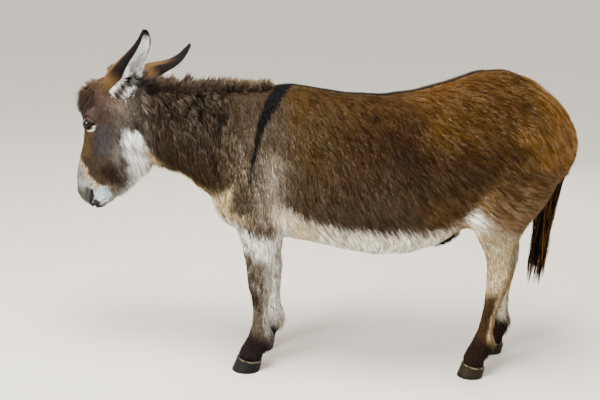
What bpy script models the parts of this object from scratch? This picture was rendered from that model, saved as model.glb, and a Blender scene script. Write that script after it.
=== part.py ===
"""A small grey-dun donkey, standing still with its head lowered and turned a little to its right.

It faces -X, its left side is -Y and +Z is up, in metres. The flesh is built from lofts and rounded
masses, made one closed body, and parted with thin cuts into head, neck, trunk and legs. The mane, the
tail, the ears, the eyes and the hooves are solids of their own, set into the flesh with a fine gap.
The surface is the outside of the coat. The origin is under the middle of the whole, on the floor.
"""

import math

import bmesh
import bpy
from mathutils import Matrix, Vector

LEFT, RIGHT = -1, 1  # sign of y on each side of the donkey
SIDES = {"left": LEFT, "right": RIGHT}
GAP = 0.0003  # clearance between neighbouring pieces
UP, ACROSS, FORWARD = Vector((0, 0, 1)), Vector((0, 1, 0)), Vector((-1, 0, 0))

RING = 32  # points round a section of the flesh
SMALL_RING = 12  # points round a section of an ear, the mane or the tail
HOOF_RING = 20  # and round a hoof
VOXEL = 0.0085  # grain of the one body that the masses are melted into
SOFTEN = 6  # smoothing steps everywhere
SOFTEN_BROAD = 30  # and further ones on the trunk, neck and thighs
FINE_FACETS = 9000  # facets of the head and feet are those of a body with this many
BODY_FACETS = 4000
HEAD_BACK = -0.72  # x where the head's fine facets end
FEET_TOP = 0.16
SQUARE_TRUNK, SQUARE_NECK, SQUARE_HEAD, SQUARE_LEG = 0.92, 0.95, 0.90, 0.95  # 1 is an oval section

# Trunk sections: x, height of the back, height of the belly, half width, height of the widest point
TRUNK = (
    (-0.505, 0.760, 0.600, 0.060, 0.67),
    (-0.470, 0.850, 0.545, 0.105, 0.68),
    (-0.420, 0.930, 0.500, 0.142, 0.69),
    (-0.340, 0.993, 0.482, 0.174, 0.69),
    (-0.260, 1.012, 0.482, 0.194, 0.69),
    (-0.170, 1.003, 0.472, 0.214, 0.68),
    (-0.060, 0.988, 0.450, 0.236, 0.67),
    (0.060, 0.986, 0.430, 0.252, 0.67),
    (0.170, 1.004, 0.436, 0.252, 0.69),
    (0.280, 1.039, 0.474, 0.240, 0.73),
    (0.380, 1.079, 0.545, 0.226, 0.79),
    (0.470, 1.087, 0.610, 0.210, 0.83),
    (0.550, 1.063, 0.650, 0.186, 0.84),
    (0.620, 1.012, 0.680, 0.148, 0.84),
    (0.675, 0.948, 0.715, 0.104, 0.84),
    (0.712, 0.885, 0.760, 0.056, 0.83),
)

# Neck sections: x, y, top, bottom, half width
NECK = (
    (-0.290, 0.000, 0.992, 0.540, 0.172),
    (-0.400, 0.000, 0.992, 0.552, 0.157),
    (-0.500, 0.000, 0.988, 0.614, 0.133),
    (-0.600, 0.002, 0.987, 0.688, 0.108),
    (-0.680, 0.007, 0.986, 0.716, 0.092),
    (-0.750, 0.014, 0.985, 0.755, 0.084),
    (-0.800, 0.020, 0.975, 0.820, 0.070),
)

# The head hangs from the poll. Its sections: distance down from the poll, where the brow or nose
# lies in front of the poll's line, where the jaw lies behind it (negative), half width
POLL = Vector((-0.800, 0.020, 0.990))
HEAD_YAW = math.radians(14)
HEAD_PITCH = math.radians(72)
HEAD = (
    (-0.030, 0.030, -0.070, 0.048),
    (0.000, 0.066, -0.100, 0.064),
    (0.040, 0.094, -0.135, 0.075),
    (0.080, 0.117, -0.152, 0.080),
    (0.120, 0.125, -0.162, 0.081),
    (0.155, 0.110, -0.167, 0.079),
    (0.200, 0.088, -0.168, 0.071),
    (0.250, 0.079, -0.159, 0.060),
    (0.300, 0.077, -0.140, 0.052),
    (0.345, 0.074, -0.117, 0.047),
    (0.385, 0.066, -0.093, 0.045),
    (0.420, 0.049, -0.073, 0.042),
    (0.443, 0.026, -0.056, 0.035),
    (0.456, 0.002, -0.036, 0.020),
)
EYE_PLACE = (0.157, 0.047, 0.0745)  # down, front and out from the poll's line
EYE_RADIUS = 0.0195

# Ears: base on the head (down, front, out), the whole reach to the tip, and the way they open
EAR_BASE = (0.030, -0.016, 0.052)
EAR_REACH = {
    "left": Vector((0.090, -0.066, 0.218)),
    "right": Vector((0.190, 0.086, 0.156)),
}
EAR_OPENS = {
    "left": Vector((0.50, -0.85, -0.15)),
    "right": Vector((0.45, 0.40, -0.80)),
}
EAR_WALL = 0.0042
HOLLOW_SHARES = (0.05, 0.10, 0.22, 0.42, 0.62, 0.80, 0.93)
HOLLOW_OPEN = 0.9  # how far the hollow moves to the open side, as a share of the ear's half depth
# How the line of each ear bends, at a third and at two thirds of its reach
EAR_BEND = {
    "left": (Vector((-0.062, 0.0, -0.008)), Vector((0.052, 0.0, -0.008))),
    "right": (Vector((0.0, 0.0, 0.050)), Vector((0.010, 0.0, -0.070))),
}
# Ear sections: share of the reach, half width, half depth
EAR = (
    (-0.08, 0.028, 0.026),
    (0.02, 0.041, 0.036),
    (0.16, 0.052, 0.039),
    (0.36, 0.050, 0.033),
    (0.58, 0.041, 0.024),
    (0.77, 0.029, 0.016),
    (0.91, 0.017, 0.011),
    (1.00, 0.005, 0.005),
)

# Leg sections: height, front, back, half width, distance of the leg's middle from the donkey's
FORELEG = (
    (0.760, -0.430, -0.270, 0.050, 0.118),
    (0.680, -0.450, -0.240, 0.062, 0.123),
    (0.600, -0.440, -0.238, 0.064, 0.121),
    (0.540, -0.424, -0.252, 0.060, 0.115),
    (0.490, -0.403, -0.269, 0.053, 0.110),
    (0.430, -0.387, -0.279, 0.045, 0.106),
    (0.375, -0.379, -0.287, 0.039, 0.103),
    (0.325, -0.375, -0.284, 0.042, 0.101),
    (0.275, -0.360, -0.291, 0.033, 0.098),
    (0.220, -0.355, -0.294, 0.027, 0.096),
    (0.168, -0.357, -0.289, 0.029, 0.094),
    (0.128, -0.366, -0.276, 0.035, 0.093),
    (0.098, -0.382, -0.286, 0.034, 0.092),
    (0.070, -0.396, -0.304, 0.035, 0.091),
    (0.045, -0.404, -0.309, 0.039, 0.090),
    (0.022, -0.408, -0.312, 0.038, 0.090),
)
HINDLEG = (
    (0.880, 0.350, 0.635, 0.085, 0.100),
    (0.800, 0.300, 0.660, 0.105, 0.110),
    (0.720, 0.300, 0.656, 0.105, 0.116),
    (0.650, 0.318, 0.618, 0.094, 0.124),
    (0.590, 0.352, 0.576, 0.074, 0.126),
    (0.540, 0.388, 0.553, 0.058, 0.124),
    (0.487, 0.423, 0.543, 0.048, 0.121),
    (0.440, 0.444, 0.549, 0.042, 0.118),
    (0.385, 0.450, 0.545, 0.042, 0.116),
    (0.340, 0.452, 0.532, 0.038, 0.114),
    (0.290, 0.452, 0.517, 0.031, 0.112),
    (0.230, 0.449, 0.504, 0.027, 0.110),
    (0.170, 0.438, 0.500, 0.029, 0.108),
    (0.130, 0.427, 0.508, 0.035, 0.107),
    (0.100, 0.411, 0.497, 0.034, 0.106),
    (0.072, 0.402, 0.484, 0.034, 0.105),
    (0.045, 0.398, 0.482, 0.037, 0.104),
    (0.022, 0.394, 0.482, 0.035, 0.104),
)
# How far back the right feet stand behind the left ones, and the height where that begins
STANCE = {"fore": 0.048, "hind": 0.125}
SWING_HEIGHT = {"fore": 0.62, "hind": 0.90}
SWING_CURVE = {"fore": 3.0, "hind": 1.5}
HOCK_HEIGHT = 0.445

# Hooves: toe and heel on the floor, the coronet's front and back, their heights, the sole's half width
HOOF = {
    "fore": ((-0.418, -0.318), (-0.398, -0.312), (0.054, 0.036), 0.042),
    "hind": ((0.387, 0.479), (0.403, 0.485), (0.054, 0.036), 0.038),
}
CORONET_SHARE = 0.88  # width of the hoof's top against its sole
FOOT_BLOCK = 0.2  # size of the block that ends a leg at the coronet

# The mane's ridge: x, y, top, bottom, half thickness
MANE = (
    (-0.325, 0.000, 1.002, 0.985, 0.006),
    (-0.390, 0.000, 1.015, 0.965, 0.015),
    (-0.500, 0.000, 1.013, 0.960, 0.018),
    (-0.620, 0.003, 1.013, 0.960, 0.018),
    (-0.720, 0.010, 1.009, 0.958, 0.017),
    (-0.790, 0.018, 1.010, 0.960, 0.015),
    (-0.826, 0.023, 1.004, 0.968, 0.008),
)
# The tail's line: x, z, half thickness fore and aft, half width
TAIL = (
    (0.596, 1.014, 0.010, 0.012),
    (0.620, 1.001, 0.018, 0.020),
    (0.653, 0.976, 0.021, 0.024),
    (0.688, 0.938, 0.021, 0.024),
    (0.716, 0.894, 0.021, 0.024),
    (0.733, 0.848, 0.021, 0.025),
    (0.731, 0.802, 0.021, 0.026),
    (0.716, 0.762, 0.021, 0.027),
    (0.698, 0.727, 0.023, 0.028),
    (0.683, 0.690, 0.030, 0.030),
    (0.672, 0.640, 0.038, 0.032),
    (0.668, 0.580, 0.042, 0.032),
    (0.667, 0.510, 0.038, 0.029),
    (0.667, 0.440, 0.029, 0.024),
    (0.669, 0.380, 0.018, 0.017),
    (0.671, 0.306, 0.005, 0.006),
)
DOCK_END = 8  # the point of the tail's line where the dock ends and the switch of hair begins

# Cuts: the top and bottom points of the flat ones, the middle and radii of the domes over the legs
SLAB_WIDTH = 0.6
NECK_CUT = ((-0.345, 0, 1.10), (-0.500, 0, 0.46))
HEAD_CUT = ((-0.752, 0, 1.12), (-0.700, 0, 0.62))
LEG_CUT = {
    "fore": ((-0.340, 0.125, 0.460), (0.128, 0.100, 0.165)),
    "hind": ((0.500, 0.125, 0.485), (0.146, 0.118, 0.240)),
}


for old in list(bpy.data.objects):
    bpy.data.objects.remove(old)

donkey = bpy.data.collections.new("donkey")
cutters = bpy.data.collections.new("cutters")
for collection in (donkey, cutters):
    bpy.context.scene.collection.children.link(collection)


# ---------------------------------------------------------------- tools


def finish(name, colour, roughness):
    """The material of one kind of surface, made the first time that it is asked for."""
    found = bpy.data.materials.get(name)
    if found:
        return found
    made = bpy.data.materials.new(name)
    made.use_nodes = True
    shader = made.node_tree.nodes["Principled BSDF"]
    shader.inputs["Base Color"].default_value = (*colour, 1.0)
    shader.inputs["Roughness"].default_value = roughness
    shader.inputs["Metallic"].default_value = 0.0
    return made


def to_object(name, bm, collection, surface=None):
    mesh = bpy.data.meshes.new(name)
    bm.to_mesh(mesh)
    bm.free()
    made = bpy.data.objects.new(name, mesh)
    collection.objects.link(made)
    if surface:
        mesh.materials.append(surface)
    if collection == cutters:
        made.hide_render = True
        made.display_type = "WIRE"
    return made


def applied(obj):
    """The mesh of obj with its modifiers applied, put in place of the one it had."""
    bpy.context.view_layer.update()
    graph = bpy.context.evaluated_depsgraph_get()
    mesh = bpy.data.meshes.new_from_object(obj.evaluated_get(graph))
    mesh.name = obj.name
    obj.modifiers.clear()
    obj.data = mesh
    return obj


def carve(obj, cutter):
    """Takes the cutter's solid out of obj."""
    cut = obj.modifiers.new("cut", "BOOLEAN")
    cut.operation = "DIFFERENCE"
    cut.solver = "EXACT"
    cut.object = cutter
    return applied(obj)


def section(bm, count, centre, side, top, half_width, above, below, squareness=1.0):
    """A loop of points round centre: half_width along side, above and below along top."""
    loop = []
    for i in range(count):
        turn = 2 * math.pi * i / count
        c, s = math.cos(turn), math.sin(turn)
        along = math.copysign(abs(c) ** squareness, c) * half_width
        rise = math.copysign(abs(s) ** squareness, s) * (above if s > 0 else below)
        loop.append(bm.verts.new(centre + side * along + top * rise))
    return loop


def loft(bm, loops):
    """Skins one loop of points to the next, and closes both ends."""
    faces = []
    for first, second in zip(loops, loops[1:]):
        for i in range(len(first)):
            j = (i + 1) % len(first)
            faces.append(bm.faces.new((first[i], first[j], second[j])))
            faces.append(bm.faces.new((first[i], second[j], second[i])))
    faces.append(bm.faces.new(loops[0][::-1]))
    faces.append(bm.faces.new(loops[-1]))
    bmesh.ops.recalc_face_normals(bm, faces=faces)


def mass(bm, centre, radii, turn=None):
    """A rounded mass of flesh with the given radii, turned about its centre."""
    place = Matrix.Translation(centre) @ (turn or Matrix.Identity(4)) @ Matrix.Diagonal((*radii, 1))
    bmesh.ops.create_uvsphere(bm, u_segments=20, v_segments=12, radius=1.0, matrix=place)


# ---------------------------------------------------------------- the head's own directions

HEAD_DOWN = Vector((
    -math.cos(HEAD_YAW) * math.cos(HEAD_PITCH),
    math.sin(HEAD_YAW) * math.cos(HEAD_PITCH),
    -math.sin(HEAD_PITCH),
))
HEAD_FRONT = Vector((
    -math.cos(HEAD_YAW) * math.sin(HEAD_PITCH),
    math.sin(HEAD_YAW) * math.sin(HEAD_PITCH),
    math.cos(HEAD_PITCH),
))
HEAD_RIGHT = HEAD_DOWN.cross(HEAD_FRONT)
HEAD_TURN = Matrix((HEAD_RIGHT, HEAD_FRONT, HEAD_DOWN)).transposed().to_4x4()


def on_head(down, front, right=0.0):
    """A point of the head: down its length from the poll, towards its face, to its right."""
    return POLL + HEAD_DOWN * down + HEAD_FRONT * front + HEAD_RIGHT * right


# ---------------------------------------------------------------- flesh


def add_trunk(bm):
    loops = []
    for x, back, belly, half, widest in TRUNK:
        centre = Vector((x, 0, widest))
        loops.append(section(bm, RING, centre, ACROSS, UP, half, back - widest, widest - belly,
                             SQUARE_TRUNK))
    loft(bm, loops)


def add_neck(bm):
    loops = []
    for i, (x, y, top, bottom, half) in enumerate(NECK):
        before, after = NECK[max(i - 1, 0)], NECK[min(i + 1, len(NECK) - 1)]
        along = Vector((after[0] - before[0], after[1] - before[1], 0)).normalized()
        tall = (top - bottom) / 2
        centre = Vector((x, y, (top + bottom) / 2))
        loops.append(section(bm, RING, centre, along.cross(UP), UP, half, tall, tall, SQUARE_NECK))
    loft(bm, loops)


def add_head(bm):
    loops = []
    for down, brow, jaw, half in HEAD:
        tall = (brow - jaw) / 2
        centre = on_head(down, (brow + jaw) / 2)
        loops.append(section(bm, RING, centre, HEAD_RIGHT, HEAD_FRONT, half, tall, tall,
                             SQUARE_HEAD))
    loft(bm, loops)
    for side in SIDES.values():
        mass(bm, on_head(0.150, 0.048, side * 0.058), (0.033, 0.036, 0.042), HEAD_TURN)  # orbit
        mass(bm, on_head(0.130, -0.085, side * 0.050), (0.040, 0.072, 0.092), HEAD_TURN)  # cheek
        mass(bm, on_head(0.402, 0.018, side * 0.028), (0.023, 0.028, 0.032), HEAD_TURN)  # nostril
        mass(bm, on_head(0.016, -0.012, side * 0.046), (0.036, 0.040, 0.032), HEAD_TURN)  # ear root
    mass(bm, on_head(0.426, 0.004), (0.038, 0.034, 0.030), HEAD_TURN)  # upper lip
    mass(bm, on_head(0.432, -0.040), (0.031, 0.024, 0.028), HEAD_TURN)  # lower lip
    mass(bm, on_head(0.394, -0.064), (0.032, 0.025, 0.032), HEAD_TURN)  # chin
    mass(bm, on_head(0.098, 0.085), (0.056, 0.042, 0.062), HEAD_TURN)  # forehead


def step_back(limb, side, z):
    """How far behind its place in the table a leg stands at height z."""
    if side == LEFT:
        return 0.0
    bend = min(1.0, max(0.0, z / SWING_HEIGHT[limb]))
    return STANCE[limb] * (1 - bend ** SWING_CURVE[limb])


def add_leg(bm, limb, table, side):
    loops = []
    for z, front, back, half, out in table:
        centre = Vector(((front + back) / 2 + step_back(limb, side, z), side * out, z))
        tall = (back - front) / 2
        loops.append(section(bm, RING, centre, ACROSS, FORWARD, half, tall, tall, SQUARE_LEG))
    loft(bm, loops)


def add_muscles(bm, side):
    lie = Matrix.Rotation(math.radians(side * 8), 4, "X") @ Matrix.Rotation(math.radians(16), 4, "Y")
    mass(bm, Vector((-0.345, side * 0.112, 0.775)), (0.090, 0.060, 0.190), lie)  # shoulder blade
    mass(bm, Vector((-0.385, side * 0.098, 0.630)), (0.080, 0.078, 0.095))  # point of shoulder
    mass(bm, Vector((-0.270, side * 0.110, 0.620)), (0.070, 0.075, 0.100))  # elbow
    mass(bm, Vector((0.490, side * 0.105, 0.860)), (0.184, 0.112, 0.190))  # haunch
    mass(bm, Vector((0.608, side * 0.068, 0.815)), (0.114, 0.072, 0.138))  # buttock
    mass(bm, Vector((0.372, side * 0.114, 0.655)), (0.058, 0.082, 0.095))  # stifle
    hock = 0.526 + step_back("hind", side, HOCK_HEIGHT)
    mass(bm, Vector((hock, side * 0.119, HOCK_HEIGHT)), (0.024, 0.022, 0.042))  # point of hock


def make_flesh():
    bm = bmesh.new()
    add_trunk(bm)
    add_neck(bm)
    add_head(bm)
    for side in SIDES.values():
        add_leg(bm, "fore", FORELEG, side)
        add_leg(bm, "hind", HINDLEG, side)
        add_muscles(bm, side)
    mass(bm, Vector((-0.440, 0, 0.600)), (0.060, 0.090, 0.085))  # breast
    lie = Matrix.Rotation(math.radians(-28), 4, "Y")
    mass(bm, Vector((0.325, 0, 0.492)), (0.080, 0.024, 0.030), lie)  # sheath
    body = to_object("flesh", bm, donkey, finish("short_coat", (0.21, 0.14, 0.09), 0.85))
    melt = body.modifiers.new("one_body", "REMESH")
    melt.mode = "VOXEL"
    melt.voxel_size = VOXEL
    return applied(body)


def mark_broad(body):
    """A vertex group of the broad parts, away from the head and the feet."""
    broad = body.vertex_groups.new(name="broad")
    for vertex in body.data.vertices:
        if vertex.co.x > HEAD_BACK and vertex.co.z > FEET_TOP:
            broad.add([vertex.index], 1.0, "REPLACE")
    return broad.name


def softened(body):
    broad = mark_broad(body)
    for steps, group in ((SOFTEN, ""), (SOFTEN_BROAD, broad)):
        soften = body.modifiers.new("soften", "SMOOTH")
        soften.factor = 0.5
        soften.iterations = steps
        soften.vertex_group = group
    return applied(body)


def reduced(body, count, group=""):
    """Fewer facets on body, about count in all, taken from the vertices of group if there is one."""
    facets = sum(len(face.vertices) - 2 for face in body.data.polygons)
    reduce = body.modifiers.new("facets", "DECIMATE")
    reduce.ratio = count / facets
    reduce.vertex_group = group
    return applied(body)


def coarsen(body):
    """Facets for the whole body, then fewer again on the broad parts."""
    reduced(body, FINE_FACETS)
    body.vertex_groups.clear()
    reduced(body, BODY_FACETS, mark_broad(body))
    body.vertex_groups.clear()
    return body


# ---------------------------------------------------------------- mane and tail


def add_ridge(bm, swell):
    """The mane: an upright ridge along the crest of the neck, swollen by swell all over."""
    loops = []
    for x, y, top, bottom, half in MANE:
        tall = (top - bottom) / 2 + swell
        centre = Vector((x, y, (top + bottom) / 2))
        loops.append(section(bm, SMALL_RING, centre, ACROSS, UP, half + swell, tall, tall))
    loft(bm, loops)


def add_tail(bm, first, last, swell=0.0, gap=0.0):
    """The tail between two points of its line, swollen by swell, a gap past the first of them."""
    points = [Vector((x, 0, z)) for x, z, _, _ in TAIL]
    loops = []
    for i in range(first, last + 1):
        _, _, deep, half = TAIL[i]
        along = (points[min(i + 1, len(points) - 1)] - points[max(i - 1, 0)]).normalized()
        centre = points[i] + along * (gap if i == first else 0)
        deep += swell
        outward = ACROSS.cross(along)
        loops.append(section(bm, SMALL_RING, centre, ACROSS, outward, half + swell, deep, deep))
    loft(bm, loops)


def make_mane_and_tail(body):
    """Both are let into the flesh, with a gap all round."""
    groove = bmesh.new()
    add_ridge(groove, GAP)
    carve(body, to_object("mane_groove", groove, cutters))
    groove = bmesh.new()
    add_tail(groove, 0, len(TAIL) - 1, GAP, -GAP)
    carve(body, to_object("tail_groove", groove, cutters))
    bm = bmesh.new()
    add_ridge(bm, 0)
    to_object("mane", bm, donkey, finish("mane_hair", (0.07, 0.05, 0.04), 0.8))
    bm = bmesh.new()
    add_tail(bm, 0, DOCK_END)
    to_object("tail_dock", bm, donkey, finish("short_coat", (0.21, 0.14, 0.09), 0.85))
    bm = bmesh.new()
    add_tail(bm, DOCK_END, len(TAIL) - 1, gap=GAP)
    to_object("tail_switch", bm, donkey, finish("tail_hair", (0.03, 0.02, 0.018), 0.7))


# ---------------------------------------------------------------- ears, eyes and hooves


def ear_axes(name):
    """The ear's base, the direction it points in, its breadth and the way it opens."""
    reach = EAR_REACH[name]
    down, front, out = EAR_BASE
    base = on_head(down, front, SIDES[name] * out)
    pointing = reach.normalized()
    opens = EAR_OPENS[name]
    opens = (opens - pointing * opens.dot(pointing)).normalized()
    return base, reach, pointing.cross(opens), opens


def along_ear(name, share):
    """The middle of the ear at a share of its reach."""
    base, reach, _, _ = ear_axes(name)
    low, high = EAR_BEND[name]
    rest = 1 - share
    return base + reach * share + low * 3 * share * rest * rest + high * 3 * share * share * rest


def add_ear(bm, name, swell=0.0, table=EAR):
    """The outside of an ear, swollen by swell all over."""
    _, reach, breadth, opens = ear_axes(name)
    loops = []
    for share, half, deep in table:
        root = swell if share < 0 else 0
        centre = along_ear(name, share) - reach.normalized() * root
        size = half + swell
        loops.append(section(bm, SMALL_RING, centre, breadth, opens, size, deep + swell, deep + swell))
    loft(bm, loops)


def ear_size(share):
    """Half width and half depth of the ear at a share of its reach."""
    for (low, half, deep), (high, next_half, next_deep) in zip(EAR, EAR[1:]):
        if share <= high:
            blend = (share - low) / (high - low)
            return half + (next_half - half) * blend, deep + (next_deep - deep) * blend
    return EAR[-1][1:]


def add_hollow(bm, name):
    """What is scooped out of the ear: its own shape, a wall smaller and moved to the open side."""
    _, _, breadth, opens = ear_axes(name)
    loops = []
    for share in HOLLOW_SHARES:
        half, deep = ear_size(share)
        centre = along_ear(name, share) + opens * deep * HOLLOW_OPEN
        size = half - EAR_WALL
        deep = deep * (1 + HOLLOW_OPEN) - EAR_WALL
        loops.append(section(bm, SMALL_RING, centre, breadth, opens, size, deep, deep))
    loft(bm, loops)


def make_ear(body, name):
    socket = bmesh.new()
    add_ear(socket, name, GAP, EAR[:4])
    carve(body, to_object("ear_socket_" + name, socket, cutters))
    bm = bmesh.new()
    add_ear(bm, name)
    ear = to_object("ear_" + name, bm, donkey, finish("ear_coat", (0.30, 0.21, 0.14), 0.85))
    hollow = bmesh.new()
    add_hollow(hollow, name)
    carve(ear, to_object("ear_hollow_" + name, hollow, cutters))


def make_eye(body, name):
    down, front, out = EYE_PLACE
    centre = on_head(down, front, SIDES[name] * out)
    for swell, collection, title in ((GAP, cutters, "eye_socket_"), (0, donkey, "eye_")):
        bm = bmesh.new()
        place = Matrix.Translation(centre)
        size = EYE_RADIUS + swell
        bmesh.ops.create_uvsphere(bm, u_segments=14, v_segments=8, radius=size, matrix=place)
        made = to_object(title + name, bm, collection, finish("eye", (0.02, 0.015, 0.01), 0.1))
        if collection == cutters:
            carve(body, made)


def hoof_ring(bm, limb, side, share):
    """The hoof's outline at a share of the way from the sole to the coronet."""
    (toe, heel), (front, back), (high, low), half = HOOF[limb]
    shift = 0 if side == LEFT else STANCE[limb]
    out = side * {"fore": FORELEG, "hind": HINDLEG}[limb][-1][4]
    ahead = toe + (front - toe) * share + shift
    behind = heel + (back - heel) * share + shift
    width = half * (1 + (CORONET_SHARE - 1) * share)
    loop = []
    for i in range(HOOF_RING):
        turn = 2 * math.pi * i / HOOF_RING
        along = (math.cos(turn) + 1) / 2
        x = ahead + (behind - ahead) * along
        z = (high + (low - high) * along) * share
        loop.append(bm.verts.new((x, out + width * math.sin(turn), z)))
    return loop


def make_hoof(body, limb, name):
    """A hoof flat on the floor; the leg above it ends at the coronet."""
    side = SIDES[name]
    bm = bmesh.new()
    loft(bm, [hoof_ring(bm, limb, side, share) for share in (0.0, 0.5, 1.0)])
    to_object("hoof_{}_{}".format(limb, name), bm, donkey, finish("hoof_horn", (0.06, 0.06, 0.05), 0.5))
    _, (front, back), (high, low), _ = HOOF[limb]
    shift = 0 if side == LEFT else STANCE[limb]
    slope = math.atan2(high - low, back - front)
    middle = Vector(((front + back) / 2 + shift, side * 0.1, (high + low) / 2 + GAP))
    place = Matrix.Translation(middle) @ Matrix.Rotation(slope, 4, "Y")
    place = place @ Matrix.Translation((0, 0, -FOOT_BLOCK / 2))
    below = bmesh.new()
    bmesh.ops.create_cube(below, size=FOOT_BLOCK, matrix=place)
    carve(body, to_object("below_coronet_{}_{}".format(limb, name), below, cutters))


# ---------------------------------------------------------------- thin cuts between the parts


def cut_plane(body, name, top, bottom, yaw=0.0):
    """Parts the body along a thin slab through two points of the middle plane."""
    top, bottom = Vector(top), Vector(bottom)
    lean = math.atan2(top.x - bottom.x, top.z - bottom.z)
    place = (
        Matrix.Translation((top + bottom) / 2)
        @ Matrix.Rotation(yaw, 4, "Z")
        @ Matrix.Rotation(lean, 4, "Y")
        @ Matrix.Diagonal((GAP, SLAB_WIDTH, (top - bottom).length, 1))
    )
    slab = bmesh.new()
    bmesh.ops.create_cube(slab, size=1.0, matrix=place)
    carve(body, to_object("cut_" + name, slab, cutters))


def cut_dome(body, name, centre, radii):
    """Parts a leg from the trunk along a thin dome that opens downward."""
    dome = bmesh.new()
    place = Matrix.Translation(centre) @ Matrix.Diagonal((*radii, 1))
    bmesh.ops.create_uvsphere(dome, u_segments=16, v_segments=10, radius=1.0, matrix=place)
    lower = [vertex for vertex in dome.verts if vertex.co.z < centre[2] - GAP]
    bmesh.ops.delete(dome, geom=lower, context="VERTS")
    shell = to_object("cut_" + name, dome, cutters)
    wall = shell.modifiers.new("wall", "SOLIDIFY")
    wall.thickness = GAP
    wall.offset = 0.0
    carve(body, applied(shell))


def separate(body):
    """Each loose body of the mesh becomes an object."""
    pieces = []
    bm = bmesh.new()
    bm.from_mesh(body.data)
    left = set(bm.verts)
    while left:
        seed = left.pop()
        island, edge = {seed}, [seed]
        while edge:
            vertex = edge.pop()
            for link in vertex.link_edges:
                other = link.other_vert(vertex)
                if other not in island:
                    island.add(other)
                    edge.append(other)
        left -= island
        pieces.append({vertex.index for vertex in island})
    bm.free()
    made = []
    for piece in pieces:
        part = bmesh.new()
        part.from_mesh(body.data)
        others = [vertex for vertex in part.verts if vertex.index not in piece]
        bmesh.ops.delete(part, geom=others, context="VERTS")
        made.append(to_object("piece", part, donkey, body.data.materials[0]))
    bpy.data.objects.remove(body)
    return made


def part_name(piece):
    """Names a part of the flesh by where its middle lies."""
    points = [vertex.co for vertex in piece.data.vertices]
    low = Vector([min(point[i] for point in points) for i in range(3)])
    high = Vector([max(point[i] for point in points) for i in range(3)])
    middle = (low + high) / 2
    if low.z > FEET_TOP:
        if high.x < NECK_CUT[0][0]:
            return "head" if middle.x < HEAD_CUT[0][0] else "neck"
        return "trunk"
    limb = "fore" if middle.x < 0 else "hind"
    side = "left" if middle.y < 0 else "right"
    return "leg_{}_{}".format(limb, side)


def stand_on_origin():
    """Moves every part so that the floor under the middle of the whole is the origin."""
    points = [vertex.co for part in donkey.objects for vertex in part.data.vertices]
    low = Vector([min(point[i] for point in points) for i in range(3)])
    high = Vector([max(point[i] for point in points) for i in range(3)])
    move = Vector((-(low.x + high.x) / 2, -(low.y + high.y) / 2, -low.z))
    for part in donkey.objects:
        part.data.transform(Matrix.Translation(move))


flesh = coarsen(softened(make_flesh()))
make_mane_and_tail(flesh)
for side_name in SIDES:
    make_ear(flesh, side_name)
    make_eye(flesh, side_name)
    for limb_name in STANCE:
        make_hoof(flesh, limb_name, side_name)
for side_name, side in SIDES.items():
    for limb_name, (centre, radii) in LEG_CUT.items():
        place = (centre[0], side * centre[1], centre[2])
        cut_dome(flesh, "{}_{}".format(limb_name, side_name), place, radii)
cut_plane(flesh, "neck", *NECK_CUT)
cut_plane(flesh, "head", *HEAD_CUT, yaw=-HEAD_YAW / 2)
for piece in separate(flesh):
    piece.name = part_name(piece)
    piece.data.name = piece.name
stand_on_origin()
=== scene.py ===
import math

import bmesh
import bpy
import numpy as np
from mathutils import Matrix, Vector
from mathutils.bvhtree import BVHTree
from mathutils.kdtree import KDTree


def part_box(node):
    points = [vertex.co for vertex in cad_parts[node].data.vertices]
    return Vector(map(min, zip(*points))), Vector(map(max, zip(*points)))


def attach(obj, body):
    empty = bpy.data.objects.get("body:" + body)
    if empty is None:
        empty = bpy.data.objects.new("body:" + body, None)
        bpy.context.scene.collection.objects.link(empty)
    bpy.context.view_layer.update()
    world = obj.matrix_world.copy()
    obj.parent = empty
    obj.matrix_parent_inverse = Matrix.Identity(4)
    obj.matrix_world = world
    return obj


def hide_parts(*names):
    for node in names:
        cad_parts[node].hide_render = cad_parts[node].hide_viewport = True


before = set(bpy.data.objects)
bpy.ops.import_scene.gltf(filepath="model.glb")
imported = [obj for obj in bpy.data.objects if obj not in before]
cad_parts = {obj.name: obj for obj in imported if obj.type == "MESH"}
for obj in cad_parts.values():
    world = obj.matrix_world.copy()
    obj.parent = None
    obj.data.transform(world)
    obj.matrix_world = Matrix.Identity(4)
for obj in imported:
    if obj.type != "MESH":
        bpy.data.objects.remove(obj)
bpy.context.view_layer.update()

# ------------------------------------------------------------------ the hide
# One closed skin over head, neck, trunk, legs and dock. It is melted from copies of the flesh solids,
# so no joint shows, and lies inside them by the depth of the coat.

FLESH = ("trunk", "neck", "head", "leg_fore_left", "leg_fore_right", "leg_hind_left",
         "leg_hind_right", "tail_dock")
SEAM = 0.0005  # each copy swells this much, to run into its neighbour
GRAIN = 0.0102
ALL_ROUNDS, BROAD_ROUNDS = 4, 26  # smoothing of the whole skin, and of the broad body once more
MELT_LIMIT = 0.012  # the melted skin counts as no further than this from the solids

# The head's own directions, from the poll: down the forehead line, forwards, and out to its right
POLL = Vector((-0.689, 0.020, 0.990))
YAW, PITCH = math.radians(14), math.radians(72)
DOWN = Vector((-math.cos(YAW) * math.cos(PITCH), math.sin(YAW) * math.cos(PITCH), -math.sin(PITCH)))
FRONT = Vector((-math.cos(YAW) * math.sin(PITCH), math.sin(YAW) * math.sin(PITCH), math.cos(PITCH)))
OUT = DOWN.cross(FRONT)
EAR_BASE = (0.030, -0.016, 0.052)
EAR_ROOT = 0.037  # radius of the swelling each ear grows from

scene = bpy.context.scene


def on_head(down, front, out):
    return POLL + DOWN * down + FRONT * front + OUT * out


def head_places(points):
    """Down, front and out of the poll's line, for an array of points."""
    turn = np.array([DOWN, FRONT, OUT]).T
    return (points - np.array(POLL)) @ turn


def fade(value, low, high):
    """0 at low, 1 at high, smooth between and level beyond. It falls where low is the larger."""
    share = np.clip((value - low) / (high - low), 0.0, 1.0)
    return share * share * (3 - 2 * share)


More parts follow.
